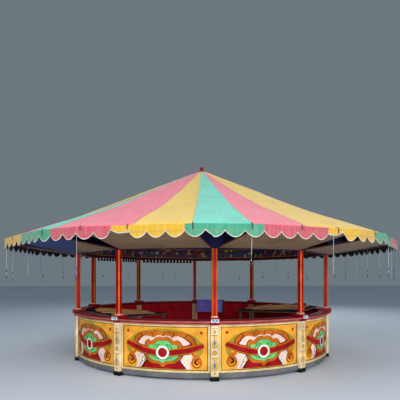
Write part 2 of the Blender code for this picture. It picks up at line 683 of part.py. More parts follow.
def make_interior():
    """Two display boards and a prize box behind the counter."""
    left = shelf_mesh("display_shelf_left", direction(SHELF_LEFT_START), direction(SHELF_LEFT_END),
                      SHELF_LEFT_TIP_RADIUS, direction(SHELF_LEFT_TIP))
    add_object("display_shelf_left", left, "shelf_timber")
    right = shelf_mesh("display_shelf_right", direction(SHELF_RIGHT_START), direction(SHELF_RIGHT_END),
                       SHELF_RIGHT_TIP_RADIUS, direction(SHELF_RIGHT_TIP))
    add_object("display_shelf_right", right, "shelf_timber")
    angle = bay_angle(PRIZE_BOX_BAY)
    reach = (POST_CIRCLE_RADIUS - RAIL_INWARD) * cos(HALF_STEP / BAY_STRIPS) - TOUCH_GAP
    back = (reach ** 2 - (PRIZE_BOX_SHIFT + PRIZE_BOX_WIDTH / 2) ** 2) ** 0.5
    top = COUNTER_TOP + PRIZE_BOX_RISE
    low = top - PRIZE_BOX_HEIGHT
    left = -PRIZE_BOX_SHIFT - PRIZE_BOX_WIDTH / 2
    outside = box_mesh("prize_box", (left, back - PRIZE_BOX_DEPTH, low),
                       (left + PRIZE_BOX_WIDTH, back, top))
    wall = PRIZE_BOX_WALL
    compartments = 2
    room = (PRIZE_BOX_WIDTH - wall) / compartments
    hollows = []
    for count in range(compartments):
        start = left + wall + count * room
        hollows.append(box_mesh("prize_box_hollow", (start, back - PRIZE_BOX_DEPTH + wall, low + wall),
                                (start + room - wall, back - wall, top + wall)))
    mesh = combine("prize_box", outside, hollows, "DIFFERENCE")
    add_object("prize_box", mesh, "box_purple", outward_turn(angle))


def main():
    """Build the whole stall."""
    make_posts()
    make_panels()
    make_rails()
    make_sill()
    make_header()
    make_shutters()
    make_rafters()
    make_crown()
    make_canopy()
    make_valance()
    make_hook_lines()
    make_interior()


clear_scene()
stall = bpy.data.collections.new("round_stall")
cutters = bpy.data.collections.new("cutters")
bpy.context.scene.collection.children.link(stall)
bpy.context.scene.collection.children.link(cutters)
main()
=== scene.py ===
"""Looks of a round fairground stall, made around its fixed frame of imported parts.

Metres, +Z up, origin in the middle of the stall on the ground, a post on -Y. Bays and posts are
numbered anticlockwise from there. A bay's or a post's own space has +Y outwards and +X along it.
"""

import json
from math import asin, atan2, cos, degrees, floor, hypot, pi, radians, sin, tan

import bmesh
import bpy
from mathutils import Matrix, Vector, noise


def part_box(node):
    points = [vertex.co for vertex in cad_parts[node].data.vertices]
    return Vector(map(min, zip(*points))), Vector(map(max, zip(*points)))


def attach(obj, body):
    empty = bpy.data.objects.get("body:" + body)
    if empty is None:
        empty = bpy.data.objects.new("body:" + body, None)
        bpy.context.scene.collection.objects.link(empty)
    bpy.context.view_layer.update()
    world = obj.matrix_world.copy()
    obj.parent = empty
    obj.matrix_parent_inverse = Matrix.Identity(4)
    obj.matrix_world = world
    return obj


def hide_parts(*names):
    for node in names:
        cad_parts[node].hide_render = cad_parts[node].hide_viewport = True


bl_info = {
    "name": "Fairground Round Stall",
    "version": (1, 0, 0),
    "blender": (4, 5, 0),
    "location": "View3D > Sidebar > Round Stall",
    "description": "Builds the canvas, painted boards, shutters and lines of a round stall",
    "category": "Add Mesh",
}

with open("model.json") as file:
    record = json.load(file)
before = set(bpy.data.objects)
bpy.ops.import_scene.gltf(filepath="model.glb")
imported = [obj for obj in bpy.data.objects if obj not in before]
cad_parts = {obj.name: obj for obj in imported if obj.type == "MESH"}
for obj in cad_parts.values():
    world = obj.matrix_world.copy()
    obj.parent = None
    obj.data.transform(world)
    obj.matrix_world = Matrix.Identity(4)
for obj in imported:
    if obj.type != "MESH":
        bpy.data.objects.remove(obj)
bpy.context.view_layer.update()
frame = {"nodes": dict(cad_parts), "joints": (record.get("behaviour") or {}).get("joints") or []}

# ---------------------------------------------------------------- places taken from the frame
JOINTS = frame["joints"]
SIDES = len(JOINTS)
STEP = 2 * pi / SIDES
HALF_STEP = STEP / 2
HINGE_RADIUS = hypot(*JOINTS[0]["pos_m"][:2])
HINGE_HEIGHT = JOINTS[0]["pos_m"][2]
HEADER_LOW, HEADER_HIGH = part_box("header_ring")
HEADER_FACE = HEADER_HIGH.x
HEADER_THICKNESS = 0.045
BAY_APOTHEM = HEADER_FACE - HEADER_THICKNESS / 2
POST_RADIUS = BAY_APOTHEM / cos(HALF_STEP)
BAY_HALF_CHORD = BAY_APOTHEM * tan(HALF_STEP)
RAIL_LOW, RAIL_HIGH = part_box("counter_rail_03")
COUNTER_TOP = RAIL_HIGH.z
COUNTER_LOW = RAIL_LOW.z
RAIL_OUTWARD = RAIL_HIGH.x - POST_RADIUS
CAPITAL_FRONT = RAIL_OUTWARD + 0.005
BAY_STRIPS = 24
CAPITAL_TOP = COUNTER_TOP + 0.036
CAPITAL_LOW = CAPITAL_TOP - 0.068
POST_HALF = 0.040
POST_CHAMFER = 0.014
CAPITAL_HALF = 0.065
CAPITAL_BACK = 0.135
RAIL_INWARD = 0.125
PANEL_FRAME = 0.032
PANEL_FRAME_LIP = 0.008
PANEL_FRAME_PROUD = 0.012
PANEL_THICKNESS = 0.018
PANEL_CLEAR = 0.064             # a panel's end to the middle of the post beside it
RAIL_CLEAR = 0.0655
FOOT_HEIGHT = 0.063
PANEL_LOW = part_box("counter_panel_01")[0].z
PANEL_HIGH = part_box("counter_panel_01")[1].z
SHUTTER_LENGTH = 1.150
SHUTTER_WIDTH = 1.430
SHUTTER_RISE = radians(8)
STRAPS = (-0.52, 0.0, 0.52)     # strap hinges from the middle of a bay
CANVAS_LOW, CANVAS_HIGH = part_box("canopy")
EAVE_HEIGHT = CANVAS_LOW.z + 0.004
ROOF_PEAK = 3.710
ROOF_KNEE = 2.610
ROOF_KNEE_SHARE = 0.675
CANVAS_HOLE = 0.030
EAVE_APOTHEM = CANVAS_HIGH.x
EAVE_HALF_SIDE = SHUTTER_WIDTH / 2 + 0.064
EAVE_CORNER_ANGLE = atan2(EAVE_HALF_SIDE, EAVE_APOTHEM)
EAVE_CORNER_RADIUS = hypot(EAVE_HALF_SIDE, EAVE_APOTHEM)
EAVE_GAP_APOTHEM = EAVE_CORNER_RADIUS * cos(HALF_STEP - EAVE_CORNER_ANGLE)
VALANCE_DROP = EAVE_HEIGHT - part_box("valance")[0].z
POST_FIRST_ANGLE = -pi / 2
BAY_FIRST_ANGLE = POST_FIRST_ANGLE + HALF_STEP
LINE_LOW, LINE_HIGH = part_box("hook_lines")
ROPE_RADIUS = 0.005
ROPE_INSET = 0.014
LINE_TOP = LINE_HIGH.z - ROPE_RADIUS
LINE_LENGTH = LINE_TOP - LINE_LOW.z
LINE_DIAMETER = 0.004
HOOK_SIZE = 0.034
HOOK_RADIUS = 0.0056
# directions of the hanging lines, in degrees from the first post towards +X
LINE_DIRECTIONS = (5, 24, 50, 61, 73, 83, 91, 99, 106, 112, 120, 125, 135, 141, 147, 158, 164,
                   188, 194, 198, 210, 222, 234, 243, 254, 266, 279, 291, 319, 330)
# seams of the roof's gores, likewise, from the first green gore round; the gap is filled evenly
SEAMS_FRONT = (-58, -46, -37, -18, -6, 5, 17, 51)
FRONT_COLOURS = (1, 0, 1, 2, 0, 1, 2)
EVEN_GORES = 18
RAFTER_REACH = 0.11             # the canvas lies on a rafter this far to each side of it
# where the canvas is tied down, and where a tie gathers the valance up
TIE_DIRECTIONS = (-40, -29, -19, -6, 5, 16, 25, 37, *range(49, 312, 12))
TUCKS = ((-21, 2.2), (25, 2.4), (-3, 0.8))


def display(red, green, blue):
    """Turn a colour as it looks on screen into the linear colour that a shader takes."""
    return tuple(part / 12.92 if part <= 0.04045 else ((part + 0.055) / 1.055) ** 2.4
                 for part in (red, green, blue))


def colour_property(label, about, shade):
    """One colour that a user would change."""
    return bpy.props.FloatVectorProperty(name=label, description=about, subtype="COLOR", size=3,
                                         min=0, max=1, default=display(*shade))


class StallSizes(bpy.types.PropertyGroup):
    """Sizes and counts of the soft and painted work."""
    lengths: bpy.props.IntProperty(
        name="Valance lengths", description="Coloured lengths in the valance", default=24)
    scallops_per_length: bpy.props.IntProperty(
        name="Scallops", description="Scallops in each length of the valance", default=4)
    roof_sag: bpy.props.FloatProperty(
        name="Roof sag", description="Droop of the canvas between two rafters",
        default=0.030, unit="LENGTH")
    scallop_depth: bpy.props.FloatProperty(
        name="Scallop depth", description="Height of one scallop", default=0.080, unit="LENGTH")
    camera_distance: bpy.props.FloatProperty(
        name="Camera distance", description="Camera to the middle of the stall",
        default=8.458, unit="LENGTH")
    camera_height: bpy.props.FloatProperty(
        name="Camera height", description="Camera above the ground", default=1.523, unit="LENGTH")
    camera_turn: bpy.props.FloatProperty(
        name="Camera turn", description="Direction of the camera round the stall",
        default=radians(-4.36), subtype="ANGLE")


class StallColours(bpy.types.PropertyGroup):
    """Colours of canvas and paint."""
    roof_pink: colour_property("Roof pink", "Second gore", (0.97, 0.42, 0.53))
    roof_yellow: colour_property("Roof yellow", "Third gore", (0.95, 0.78, 0.24))
    roof_green: colour_property("Roof green", "First gore", (0.34, 0.84, 0.74))
    valance_pink: colour_property("Valance pink", "First length", (0.72, 0.27, 0.34))
    valance_yellow: colour_property("Valance yellow", "Second length", (0.80, 0.62, 0.06))
    valance_green: colour_property("Valance green", "Third length", (0.18, 0.56, 0.43))
    post_red: colour_property("Post red", "Shafts of the posts", (0.68, 0.01, 0.03))
    arris_orange: colour_property("Arris orange", "Lined corners of the posts", (0.88, 0.48, 0.10))
    rail_crimson: colour_property("Rail crimson", "Counter mouldings", (0.56, 0.01, 0.08))
    frame_cream: colour_property("Frame cream", "Panel frames and pilasters", (0.90, 0.80, 0.56))
    field_gold: colour_property("Field gold", "Ground of the painted panels", (0.95, 0.66, 0.20))
    board_brown: colour_property("Board brown", "Inner face of the shutters", (0.62, 0.49, 0.35))
    shutter_red: colour_property("Shutter red", "Outer face of the shutters", (0.70, 0.03, 0.05))


# ---------------------------------------------------------------- small tools
def bay_angle(number):
    """Direction of the middle of a bay, from 1."""
    return BAY_FIRST_ANGLE + (number - 1) * STEP


def post_angle(number):
    """Direction of a post, from 1."""
    return POST_FIRST_ANGLE + (number - 1) * STEP


def numbers():
    """Bay and post numbers."""
    return range(1, SIDES + 1)


def turn_to(bm, angle):
    """Turn a bay's or a post's own space so that its +Y points along angle."""
    bmesh.ops.rotate(bm, verts=bm.verts, cent=(0, 0, 0), matrix=Matrix.Rotation(angle - pi / 2, 3, "Z"))


def face_out(bm):
    """Turn an open sheet so that its faces look up and away from the middle."""
    bm.normal_update()
    wrong = [face for face in bm.faces
             if face.normal.dot(Vector((*face.calc_center_median().xy, 4 * POST_RADIUS))) < 0]
    bmesh.ops.reverse_faces(bm, faces=wrong)


def linked(name, data):
    """A new object in the scene."""
    item = bpy.data.objects.new(name, data)
    bpy.context.scene.collection.objects.link(item)
    return item


def new_piece(bm, name, materials, body="stall", nodes=(), smooth=32, solid=True):
    """Make a finished mesh piece from a bmesh, riding on its body."""
    if solid:
        bmesh.ops.recalc_face_normals(bm, faces=bm.faces)
    else:
        face_out(bm)
    mesh = bpy.data.meshes.new(name)
    bm.to_mesh(mesh)
    bm.free()
    for material in materials:
        mesh.materials.append(material)
    mesh.shade_smooth()
    mesh.set_sharp_from_angle(angle=radians(smooth))
    item = linked(name, mesh)
    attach(item, body)
    if nodes:
        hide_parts(*nodes)
    return item


def round_edges(bm, edges, offset, segments=2):
    """Bevel some edges, and return what the bevel made."""
    return bmesh.ops.bevel(bm, geom=edges, offset=offset, segments=segments, affect="EDGES",
                           profile=0.5, material=-1, clamp_overlap=False)


def add_box(bm, low, high, index=0, bevel=0.0, segments=2):
    """Add a box between two corners, with rounded edges, and return its faces."""
    low, high = Vector(low), Vector(high)
    place = Matrix.Translation((low + high) / 2) @ Matrix.Diagonal((*(high - low), 1))
    before = set(bm.faces)
    verts = bmesh.ops.create_cube(bm, size=1, matrix=place)["verts"]
    if bevel:
        round_edges(bm, list({edge for vert in verts for edge in vert.link_edges}), bevel, segments)
    faces = [face for face in bm.faces if face not in before]
    for face in faces:
        face.material_index = index
    return faces


def face_verts(faces):
    """The corners of some faces, once each."""
    return list({vert for face in faces for vert in face.verts})


def turn_new(bm, before, angle):
    """Turn the faces that aren't among the ones before, so that their own +Y points along angle."""
    faces = [face for face in bm.faces if face not in before]
    bmesh.ops.rotate(bm, verts=face_verts(faces), cent=(0, 0, 0),
                     matrix=Matrix.Rotation(angle - pi / 2, 3, "Z"))


def tint(verts, index):
    """Give the faces round some corners a material."""
    for vert in verts:
        for face in vert.link_faces:
            face.material_index = index


def spun(points, steps):
    """Spin a line of points round the middle into one sheet, as a bmesh."""
    bm = bmesh.new()
    line = [bm.verts.new(point) for point in points]
    edges = [bm.edges.new(pair) for pair in zip(line, line[1:])]
    bmesh.ops.spin(bm, geom=line + edges, axis=(0, 0, 1), cent=(0, 0, 0), angle=2 * pi, steps=steps,
                   use_merge=True)
    return bm


def mitre(faces, gap=0.0):
    """Cut a bar's ends to the lines between two bays."""
    for vert in face_verts(faces):
        reach = vert.co.y * tan(HALF_STEP) - gap
        vert.co.x = reach * (1 if vert.co.x > 0 else -1)


def bay_half(clear):
    """Half a bay's length along the circle of the posts, with some left clear beside each post."""
    return POST_RADIUS * (HALF_STEP - asin(clear / POST_RADIUS))


def bend(bm, clear):
    """Bend a straight piece of one bay's length round the stall. Its Y is its distance from the middle."""
    half = bay_half(clear)
    for count in range(1, BAY_STRIPS):
        place = half * (2 * count / BAY_STRIPS - 1)
        bmesh.ops.bisect_plane(bm, geom=bm.verts[:] + bm.edges[:] + bm.faces[:], dist=0.00001,
                               plane_co=(place, 0, 0), plane_no=(1, 0, 0))
    for vert in bm.verts:
        radius = vert.co.y
        angle = vert.co.x / half * (HALF_STEP - asin(clear / radius))
        vert.co.x = radius * sin(angle)
        vert.co.y = radius * cos(angle)


def bar_profile(bm, outline, half, index=0):
    """Extrude a closed (y, z) outline along X, from -half to half, and return its faces."""
    before = set(bm.faces)
    face = bm.faces.new([bm.verts.new((-half, y, z)) for y, z in outline])
    moved = bmesh.ops.extrude_face_region(bm, geom=[face])["geom"]
    ends = [item for item in moved if isinstance(item, bmesh.types.BMVert)]
    bmesh.ops.translate(bm, verts=ends, vec=(2 * half, 0, 0))
    faces = [face for face in bm.faces if face not in before]
    for face in faces:
        face.material_index = index
    return faces


def curve_through(points, steps, closed=False):
    """Points on a smooth curve through the given ones."""
    count = len(points)
    spans = count if closed else count - 1
    made = []
    for span in range(spans):
        if closed:
            four = [points[(span + shift) % count] for shift in (-1, 0, 1, 2)]
        else:
            four = [points[min(max(span + shift, 0), count - 1)] for shift in (-1, 0, 1, 2)]
        before, start, end, after = (Vector(point) for point in four)
        for step in range(steps):
            part = step / steps
            made.append(0.5 * (2 * start + (end - before) * part
                               + (2 * before - 5 * start + 4 * end - after) * part ** 2
                               + (3 * start - before - 3 * end + after) * part ** 3))
    if not closed:
        made.append(Vector(points[-1]))
    return made


def plate(bm, outline, face_y, thickness, index):
    """Add a flat cut-out in the XZ plane that stands proud of a face."""
    corners = [bm.verts.new((point[0], face_y, point[1])) for point in outline]
    face = bm.faces.new(corners)
    face.material_index = index
    moved = bmesh.ops.extrude_face_region(bm, geom=[face])["geom"]
    ends = [item for item in moved if isinstance(item, bmesh.types.BMVert)]
    bmesh.ops.translate(bm, verts=ends, vec=(0, thickness, 0))
    tint(ends, index)


def map_flat(bm):
    """Lay out the paint's own map: metres across and up each face, before the piece is turned."""
    layer = bm.loops.layers.uv.verify()
    bm.normal_update()
    for face in bm.faces:
        normal = face.normal
        for loop in face.loops:
            place = loop.vert.co
            if abs(normal.z) > max(abs(normal.x), abs(normal.y)):
                loop[layer].uv = (place.x, place.y)
            elif abs(normal.y) >= abs(normal.x):
                loop[layer].uv = (place.x, place.z)
            else:
                loop[layer].uv = (place.y, place.z)


def fine_copy(node, name, materials, bevel, body="stall", choose=None):
    """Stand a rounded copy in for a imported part, with a material chosen for each face."""
    bm = bmesh.new()
    bm.from_mesh(frame["nodes"][node].data)
    bmesh.ops.remove_doubles(bm, verts=bm.verts, dist=0.0001)
    bmesh.ops.dissolve_limit(bm, angle_limit=radians(1), verts=bm.verts, edges=bm.edges)
    bm.normal_update()
    sharp = [edge for edge in bm.edges if len(edge.link_faces) == 2
             and edge.calc_face_angle(0) > radians(30)]
    bmesh.ops.bevel(bm, geom=sharp, offset=bevel, segments=2, affect="EDGES", profile=0.5,
                    material=-1, clamp_overlap=True)
    if choose:
        for face in bm.faces:
            face.material_index = choose(face)
    return new_piece(bm, name, materials, body, (node,))


# ---------------------------------------------------------------- materials
def wire(tree, value, socket):
    """Link a node's result to a socket, or set the socket to a plain value."""
    if isinstance(value, bpy.types.NodeSocket):
        tree.links.new(value, socket)
    else:
        socket.default_value = value


def shaded(colour, factor):
    """A darker colour."""
    return tuple(part * factor for part in colour)


def add_node(tree, kind, inputs=None, **settings):
    """Add one shader node, set it up and wire its inputs."""
    made = tree.nodes.new("ShaderNode" + kind)
    for key, value in settings.items():
        setattr(made, key, value)
    for key, value in (inputs or {}).items():
        wire(tree, value, made.inputs[key])
    return made


def mixed(tree, factor, first, second, mode="MIX"):
    """Mix two colours and return the socket."""
    made = add_node(tree, "Mix", data_type="RGBA", blend_type=mode)
    wire(tree, factor, made.inputs[0])
    for place, value in ((6, first), (7, second)):
        wire(tree, value if isinstance(value, bpy.types.NodeSocket) else (*value, 1), made.inputs[place])
    return made.outputs[2]


def sums(tree, operation, first, second=0.0, third=0.0):
    """A Math node's result."""
    made = add_node(tree, "Math", operation=operation)
    for place, value in enumerate((first, second, third)):
        wire(tree, value, made.inputs[place])
    return made.outputs[0]


def times(tree, first, second):
    """Two values multiplied."""
    return sums(tree, "MULTIPLY", first, second)


def above(tree, value, level):
    """1 where a value is over a level, else 0."""
    return sums(tree, "GREATER_THAN", value, level)


def rest_of(tree, value):
    """1 less a value."""
    return sums(tree, "SUBTRACT", 1.0, value)


def start_material(name):
    """A new material with its node tree and its shader."""
    material = bpy.data.materials.new(name)
    material.use_nodes = True
    return material, material.node_tree, material.node_tree.nodes["Principled BSDF"]


def placed(tree, source="Object", stretch=(1, 1, 1)):
    """Coordinates on a piece, stretched."""
    where = add_node(tree, "TexCoord")
    return add_node(tree, "Mapping", {"Vector": where.outputs[source], "Scale": stretch}).outputs[0]


def noise_of(tree, vector, scale, detail=4.0, roughness=0.55):
    """A noise value from 0 to 1."""
    return add_node(tree, "TexNoise", {"Vector": vector, "Scale": scale, "Detail": detail,
                                       "Roughness": roughness}).outputs["Fac"]


def ramp(tree, value, low, high):
    """Map a value so that low gives 0 and high gives 1."""
    return add_node(tree, "MapRange", {"Value": value, "From Min": low, "From Max": high}).outputs[0]


def bump(tree, shader, height, strength, distance):
    """Wire a height to the shader's normal."""
    made = add_node(tree, "Bump", {"Height": height, "Strength": strength, "Distance": distance})
    wire(tree, made.outputs[0], shader.inputs["Normal"])


def coat(tree, shader, tone, roughness):
    """Wire a finish's colour and roughness to the shader."""
    wire(tree, tone, shader.inputs["Base Color"])
    wire(tree, roughness, shader.inputs["Roughness"])


def paint(name, colour, roughness=0.38, wear=0.35, worn=(0.20, 0.13, 0.08), source="Object"):
    """Brushed gloss paint on timber: soft mottling, brush marks, chips and grime."""
    found = bpy.data.materials.get(name)
    if found:
        return found
    material, tree, shader = start_material(name)
    flat = placed(tree, source)
    mottle = noise_of(tree, flat, 5.0, 5.0, 0.6)
    strokes = noise_of(tree, placed(tree, source, (9, 9, 120)), 1.6, 3.0)
    dark = shaded(colour, 0.62)
    light = tuple(min(1.0, part * 1.12 + 0.01) for part in colour)
    tone = mixed(tree, ramp(tree, mottle, 0.30, 0.72), dark, light)
    chips = ramp(tree, noise_of(tree, flat, 38.0, 8.0, 0.7), 0.63, 0.69)
    where = ramp(tree, noise_of(tree, flat, 3.1, 3.0), 0.45, 0.62)
    lost = times(tree, times(tree, chips, where), wear)
    rough = sums(tree, "MULTIPLY_ADD", mottle, 0.30, roughness - 0.12)
    coat(tree, shader, mixed(tree, lost, tone, worn), rough)
    glossy = roughness < 0.25
    shader.inputs["Specular IOR Level"].default_value = 0.45 if glossy else 0.06
    shader.inputs["Coat Weight"].default_value = 0.20 if glossy else 0.0
    shader.inputs["Coat Roughness"].default_value = 0.22
    bump(tree, shader, sums(tree, "SUBTRACT", strokes, times(tree, lost, 0.6)), 0.20, 0.0012)
    return material


def boards(name, colour, along="X", roughness=0.6, contrast=0.45):
    """Bare or stained timber with grain along one axis of the piece's own map."""
    found = bpy.data.materials.get(name)
    if found:
        return found
    material, tree, shader = start_material(name)
    stretch = (1.2, 22, 22) if along == "X" else (22, 1.2, 22)
    grain = noise_of(tree, placed(tree, "UV", stretch), 2.2, 6.0, 0.62)
    stain = noise_of(tree, placed(tree, "Object"), 2.3, 4.0)
    tone = mixed(tree, ramp(tree, grain, 0.30, 0.70), shaded(colour, 1 - contrast), colour)
    grimy = mixed(tree, ramp(tree, stain, 0.48, 0.80), tone, shaded(colour, 0.45))
    coat(tree, shader, grimy, sums(tree, "MULTIPLY_ADD", grain, 0.2, roughness - 0.1))
    bump(tree, shader, grain, 0.35, 0.0015)
    return material


def canvas(name, colours, streak=0.5, seam=0.020, crease_shade=False):
    """Weathered cotton in three colours, by gore. The map's U counts gores and V is metres down."""
    material, tree, shader = start_material(name)
    cloth = add_node(tree, "SeparateXYZ", {"Vector": placed(tree, "UV")})
    across, down = cloth.outputs[0], cloth.outputs[1]
    which = sums(tree, "MODULO", sums(tree, "FLOOR", across), 3.0)
    first = mixed(tree, above(tree, which, 0.5), colours[0], colours[1])
    tone = mixed(tree, above(tree, which, 1.5), first, colours[2])
    streaks = noise_of(tree, placed(tree, "UV", (7.0, 0.8, 1)), 3.0, 6.0, 0.65)
    blotch = noise_of(tree, placed(tree, "Object"), 2.6, 5.0, 0.6)
    tone = mixed(tree, times(tree, ramp(tree, streaks, 0.45, 0.75), streak * 0.55), tone, (0.80, 0.76, 0.62))
    tone = mixed(tree, times(tree, ramp(tree, blotch, 0.50, 0.78), streak * 0.45), tone, (0.30, 0.26, 0.20),
                 "MULTIPLY")
    inside = sums(tree, "FRACT", across)
    near = sums(tree, "MINIMUM", inside, rest_of(tree, inside))
    lap = rest_of(tree, ramp(tree, near, seam * 0.6, seam))
    tone = mixed(tree, times(tree, lap, 0.35), tone, (0.35, 0.22, 0.12))
    # Painted shade: a darker brown line along a crease 85 mm down from the top edge.
    if crease_shade:
        band = sums(tree, "ABSOLUTE", sums(tree, "SUBTRACT", down, 0.085))
        crease_shade_mask = rest_of(tree, ramp(tree, band, 0.0, 0.022))
        tone = mixed(tree, times(tree, crease_shade_mask, 0.30), tone, (0.25, 0.16, 0.08))
    coat(tree, shader, tone, 0.85)
    shader.inputs["Sheen Weight"].default_value = 0.25
    shader.inputs["Sheen Roughness"].default_value = 0.5
    weave = add_node(tree, "TexWave", {"Vector": placed(tree, "UV", (1, 1, 1)), "Scale": 90.0,
                                       "Distortion": 1.5}, bands_direction="Y").outputs["Fac"]
    rumple = noise_of(tree, placed(tree, "UV", (3.0, 2.2, 1)), 2.4, 5.0, 0.6)
    bump(tree, shader, sums(tree, "MULTIPLY_ADD", rumple, 5.0, weave), 0.30, 0.004)
    return material


def shade_lining(name, colour):
    """Painted shade for the inner side of the canvas: a plain dark colour, mottled, standing in for the shade
    under it.
    """
    material, tree, shader = start_material(name)
    patch = noise_of(tree, placed(tree, "Object"), 4.0, 5.0)
    coat(tree, shader, mixed(tree, ramp(tree, patch, 0.3, 0.75), colour, shaded(colour, 0.45)), 0.9)
    bump(tree, shader, noise_of(tree, placed(tree, "Object"), 260.0, 2.0), 0.2, 0.001)
    return material


def tape(name, colour):
    """Woven tape or twine."""
    found = bpy.data.materials.get(name)
    if found:
        return found
    material, tree, shader = start_material(name)
    twist = add_node(tree, "TexWave", {"Vector": placed(tree, "Object"), "Scale": 60.0,
                                       "Distortion": 3.0}, bands_direction="DIAGONAL").outputs["Fac"]
    coat(tree, shader, mixed(tree, twist, shaded(colour, 0.6), colour), 0.8)
    bump(tree, shader, twist, 0.3, 0.0006)
    return material


def iron(name, colour, roughness=0.5):
    """Forged iron, rubbed and a little rusty."""
    found = bpy.data.materials.get(name)
    if found:
        return found
    material, tree, shader = start_material(name)
    patch = noise_of(tree, placed(tree, "Object"), 30.0, 6.0, 0.65)
    tone = mixed(tree, ramp(tree, patch, 0.52, 0.70), colour, (0.16, 0.06, 0.025))
    coat(tree, shader, tone, sums(tree, "MULTIPLY_ADD", patch, 0.35, roughness - 0.15))
    shader.inputs["Metallic"].default_value = 0.75
    bump(tree, shader, patch, 0.3, 0.0008)
    return material


def frieze(name):
    """Band of small painted patches in changing colours, from the piece's own map."""
    material, tree, shader = start_material(name)
    wobble = noise_of(tree, placed(tree, "UV", (11, 11, 1)), 1.0, 3.0)
    cell = add_node(tree, "SeparateXYZ", {"Vector": placed(tree, "UV", (19, 15, 1))})
    across = sums(tree, "ADD", cell.outputs[0], times(tree, wobble, 1.4))
    up = sums(tree, "ADD", cell.outputs[1], times(tree, wobble, 1.1))
    block = add_node(tree, "CombineXYZ", {"X": sums(tree, "FLOOR", across), "Y": sums(tree, "FLOOR", up)})
    chance = add_node(tree, "TexWhiteNoise", {"Vector": block.outputs[0]}, noise_dimensions="2D")
    pick = chance.outputs["Value"]
    tone = mixed(tree, above(tree, pick, 0.26), display(0.10, 0.15, 0.46), display(0.62, 0.07, 0.12))
    for level, shade in ((0.46, (0.10, 0.34, 0.24)), (0.60, (0.80, 0.60, 0.18)), (0.68, (0.07, 0.09, 0.22)),
                         (0.84, (0.36, 0.05, 0.10)), (0.94, (0.72, 0.66, 0.56))):
        tone = mixed(tree, above(tree, pick, level), tone, display(*shade))
    edges = [sums(tree, "ABSOLUTE", sums(tree, "SUBTRACT", sums(tree, "FRACT", value), 0.5))
             for value in (across, up)]
    line = ramp(tree, sums(tree, "MAXIMUM", *edges), 0.38, 0.47)
    tone = mixed(tree, times(tree, line, 0.7), tone, display(0.10, 0.06, 0.10))
    dirt = noise_of(tree, placed(tree, "Object"), 7.0, 5.0)
    tone = mixed(tree, times(tree, ramp(tree, dirt, 0.45, 0.75), 0.6), tone, display(0.12, 0.07, 0.08))
    coat(tree, shader, tone, 0.5)
    bump(tree, shader, dirt, 0.2, 0.001)
    return material


# ---------------------------------------------------------------- shape of the canvas
def eave_radius(angle):
    """Distance from the middle to the canvas edge in a direction."""
    offset = angle - BAY_FIRST_ANGLE
    offset -= STEP * floor(offset / STEP + 0.5)
    if abs(offset) <= EAVE_CORNER_ANGLE:
        return EAVE_APOTHEM / cos(offset)
    return EAVE_GAP_APOTHEM / cos(HALF_STEP - abs(offset))


def canvas_top(share):
    """Height of the taut canvas at a share of the way from the middle to its edge."""
    if share < ROOF_KNEE_SHARE:
        return ROOF_PEAK + (ROOF_KNEE - ROOF_PEAK) * share / ROOF_KNEE_SHARE
    rest = (share - ROOF_KNEE_SHARE) / (1 - ROOF_KNEE_SHARE)
    return ROOF_KNEE + (EAVE_HEIGHT - ROOF_KNEE) * rest


def from_post(angle):
    """Share of the way from the nearest post to the middle of its bay, from 0 to 1."""
    offset = angle - POST_FIRST_ANGLE
    offset -= STEP * floor(offset / STEP + 0.5)
    return abs(offset) / HALF_STEP


def valance_start(lengths):
    """Direction of the first valance seam: a length is centred on the first post."""
    return POST_FIRST_ANGLE - pi / lengths


def gore_table():
    """Start, end and colour of each gore, in order round the roof."""
    gores = [(radians(low), radians(high), colour)
             for low, high, colour in zip(SEAMS_FRONT, SEAMS_FRONT[1:], FRONT_COLOURS)]
    start, end = radians(SEAMS_FRONT[-1]), radians(SEAMS_FRONT[0] + 360)
    for count in range(EVEN_GORES):
        gores.append((start + (end - start) * count / EVEN_GORES,
                      start + (end - start) * (count + 1) / EVEN_GORES, count % 3))
    return [(low + POST_FIRST_ANGLE, high + POST_FIRST_ANGLE, colour) for low, high, colour in gores]


def roof_point(share, angle, part, sag):
    """A point of the canvas: sagging between rafters, puckered at seams, rippled at the edge."""
    radius = share * eave_radius(angle)
    droop = sin(pi * min(1.0, share / 0.93)) ** 1.5 * (0.5 - 0.5 * cos(pi * from_post(angle))) * sag
    belly = 0.008 * sin(pi * part) * share * (1 - share) * 4
    seam = 0.004 * max(0.0, 1 - min(part, 1 - part) / 0.02)
    ripple = noise.noise((cos(angle) * 9, sin(angle) * 9, share * 7)) * 0.012 * share
    soft = noise.noise((cos(angle) * 3, sin(angle) * 3, share * 2.5 + 7)) * 0.024 * share * (1 - share)
    height = canvas_top(share) - droop - belly + seam + (ripple + soft) * (1 if share < 0.97 else 0.3)
    if from_post(angle) * HALF_STEP * radius < RAFTER_REACH:
        height = max(height, canvas_top(share) - 0.002)
    return Vector((radius * cos(angle), radius * sin(angle), height))


def cloth_wall(item, thickness, inner):
    """Give a sheet its thickness inwards. Its inner side's materials come inner places later."""
    wall = item.modifiers.new("Cloth", "SOLIDIFY")
    wall.thickness = thickness
    wall.offset = -1
    wall.material_offset = inner


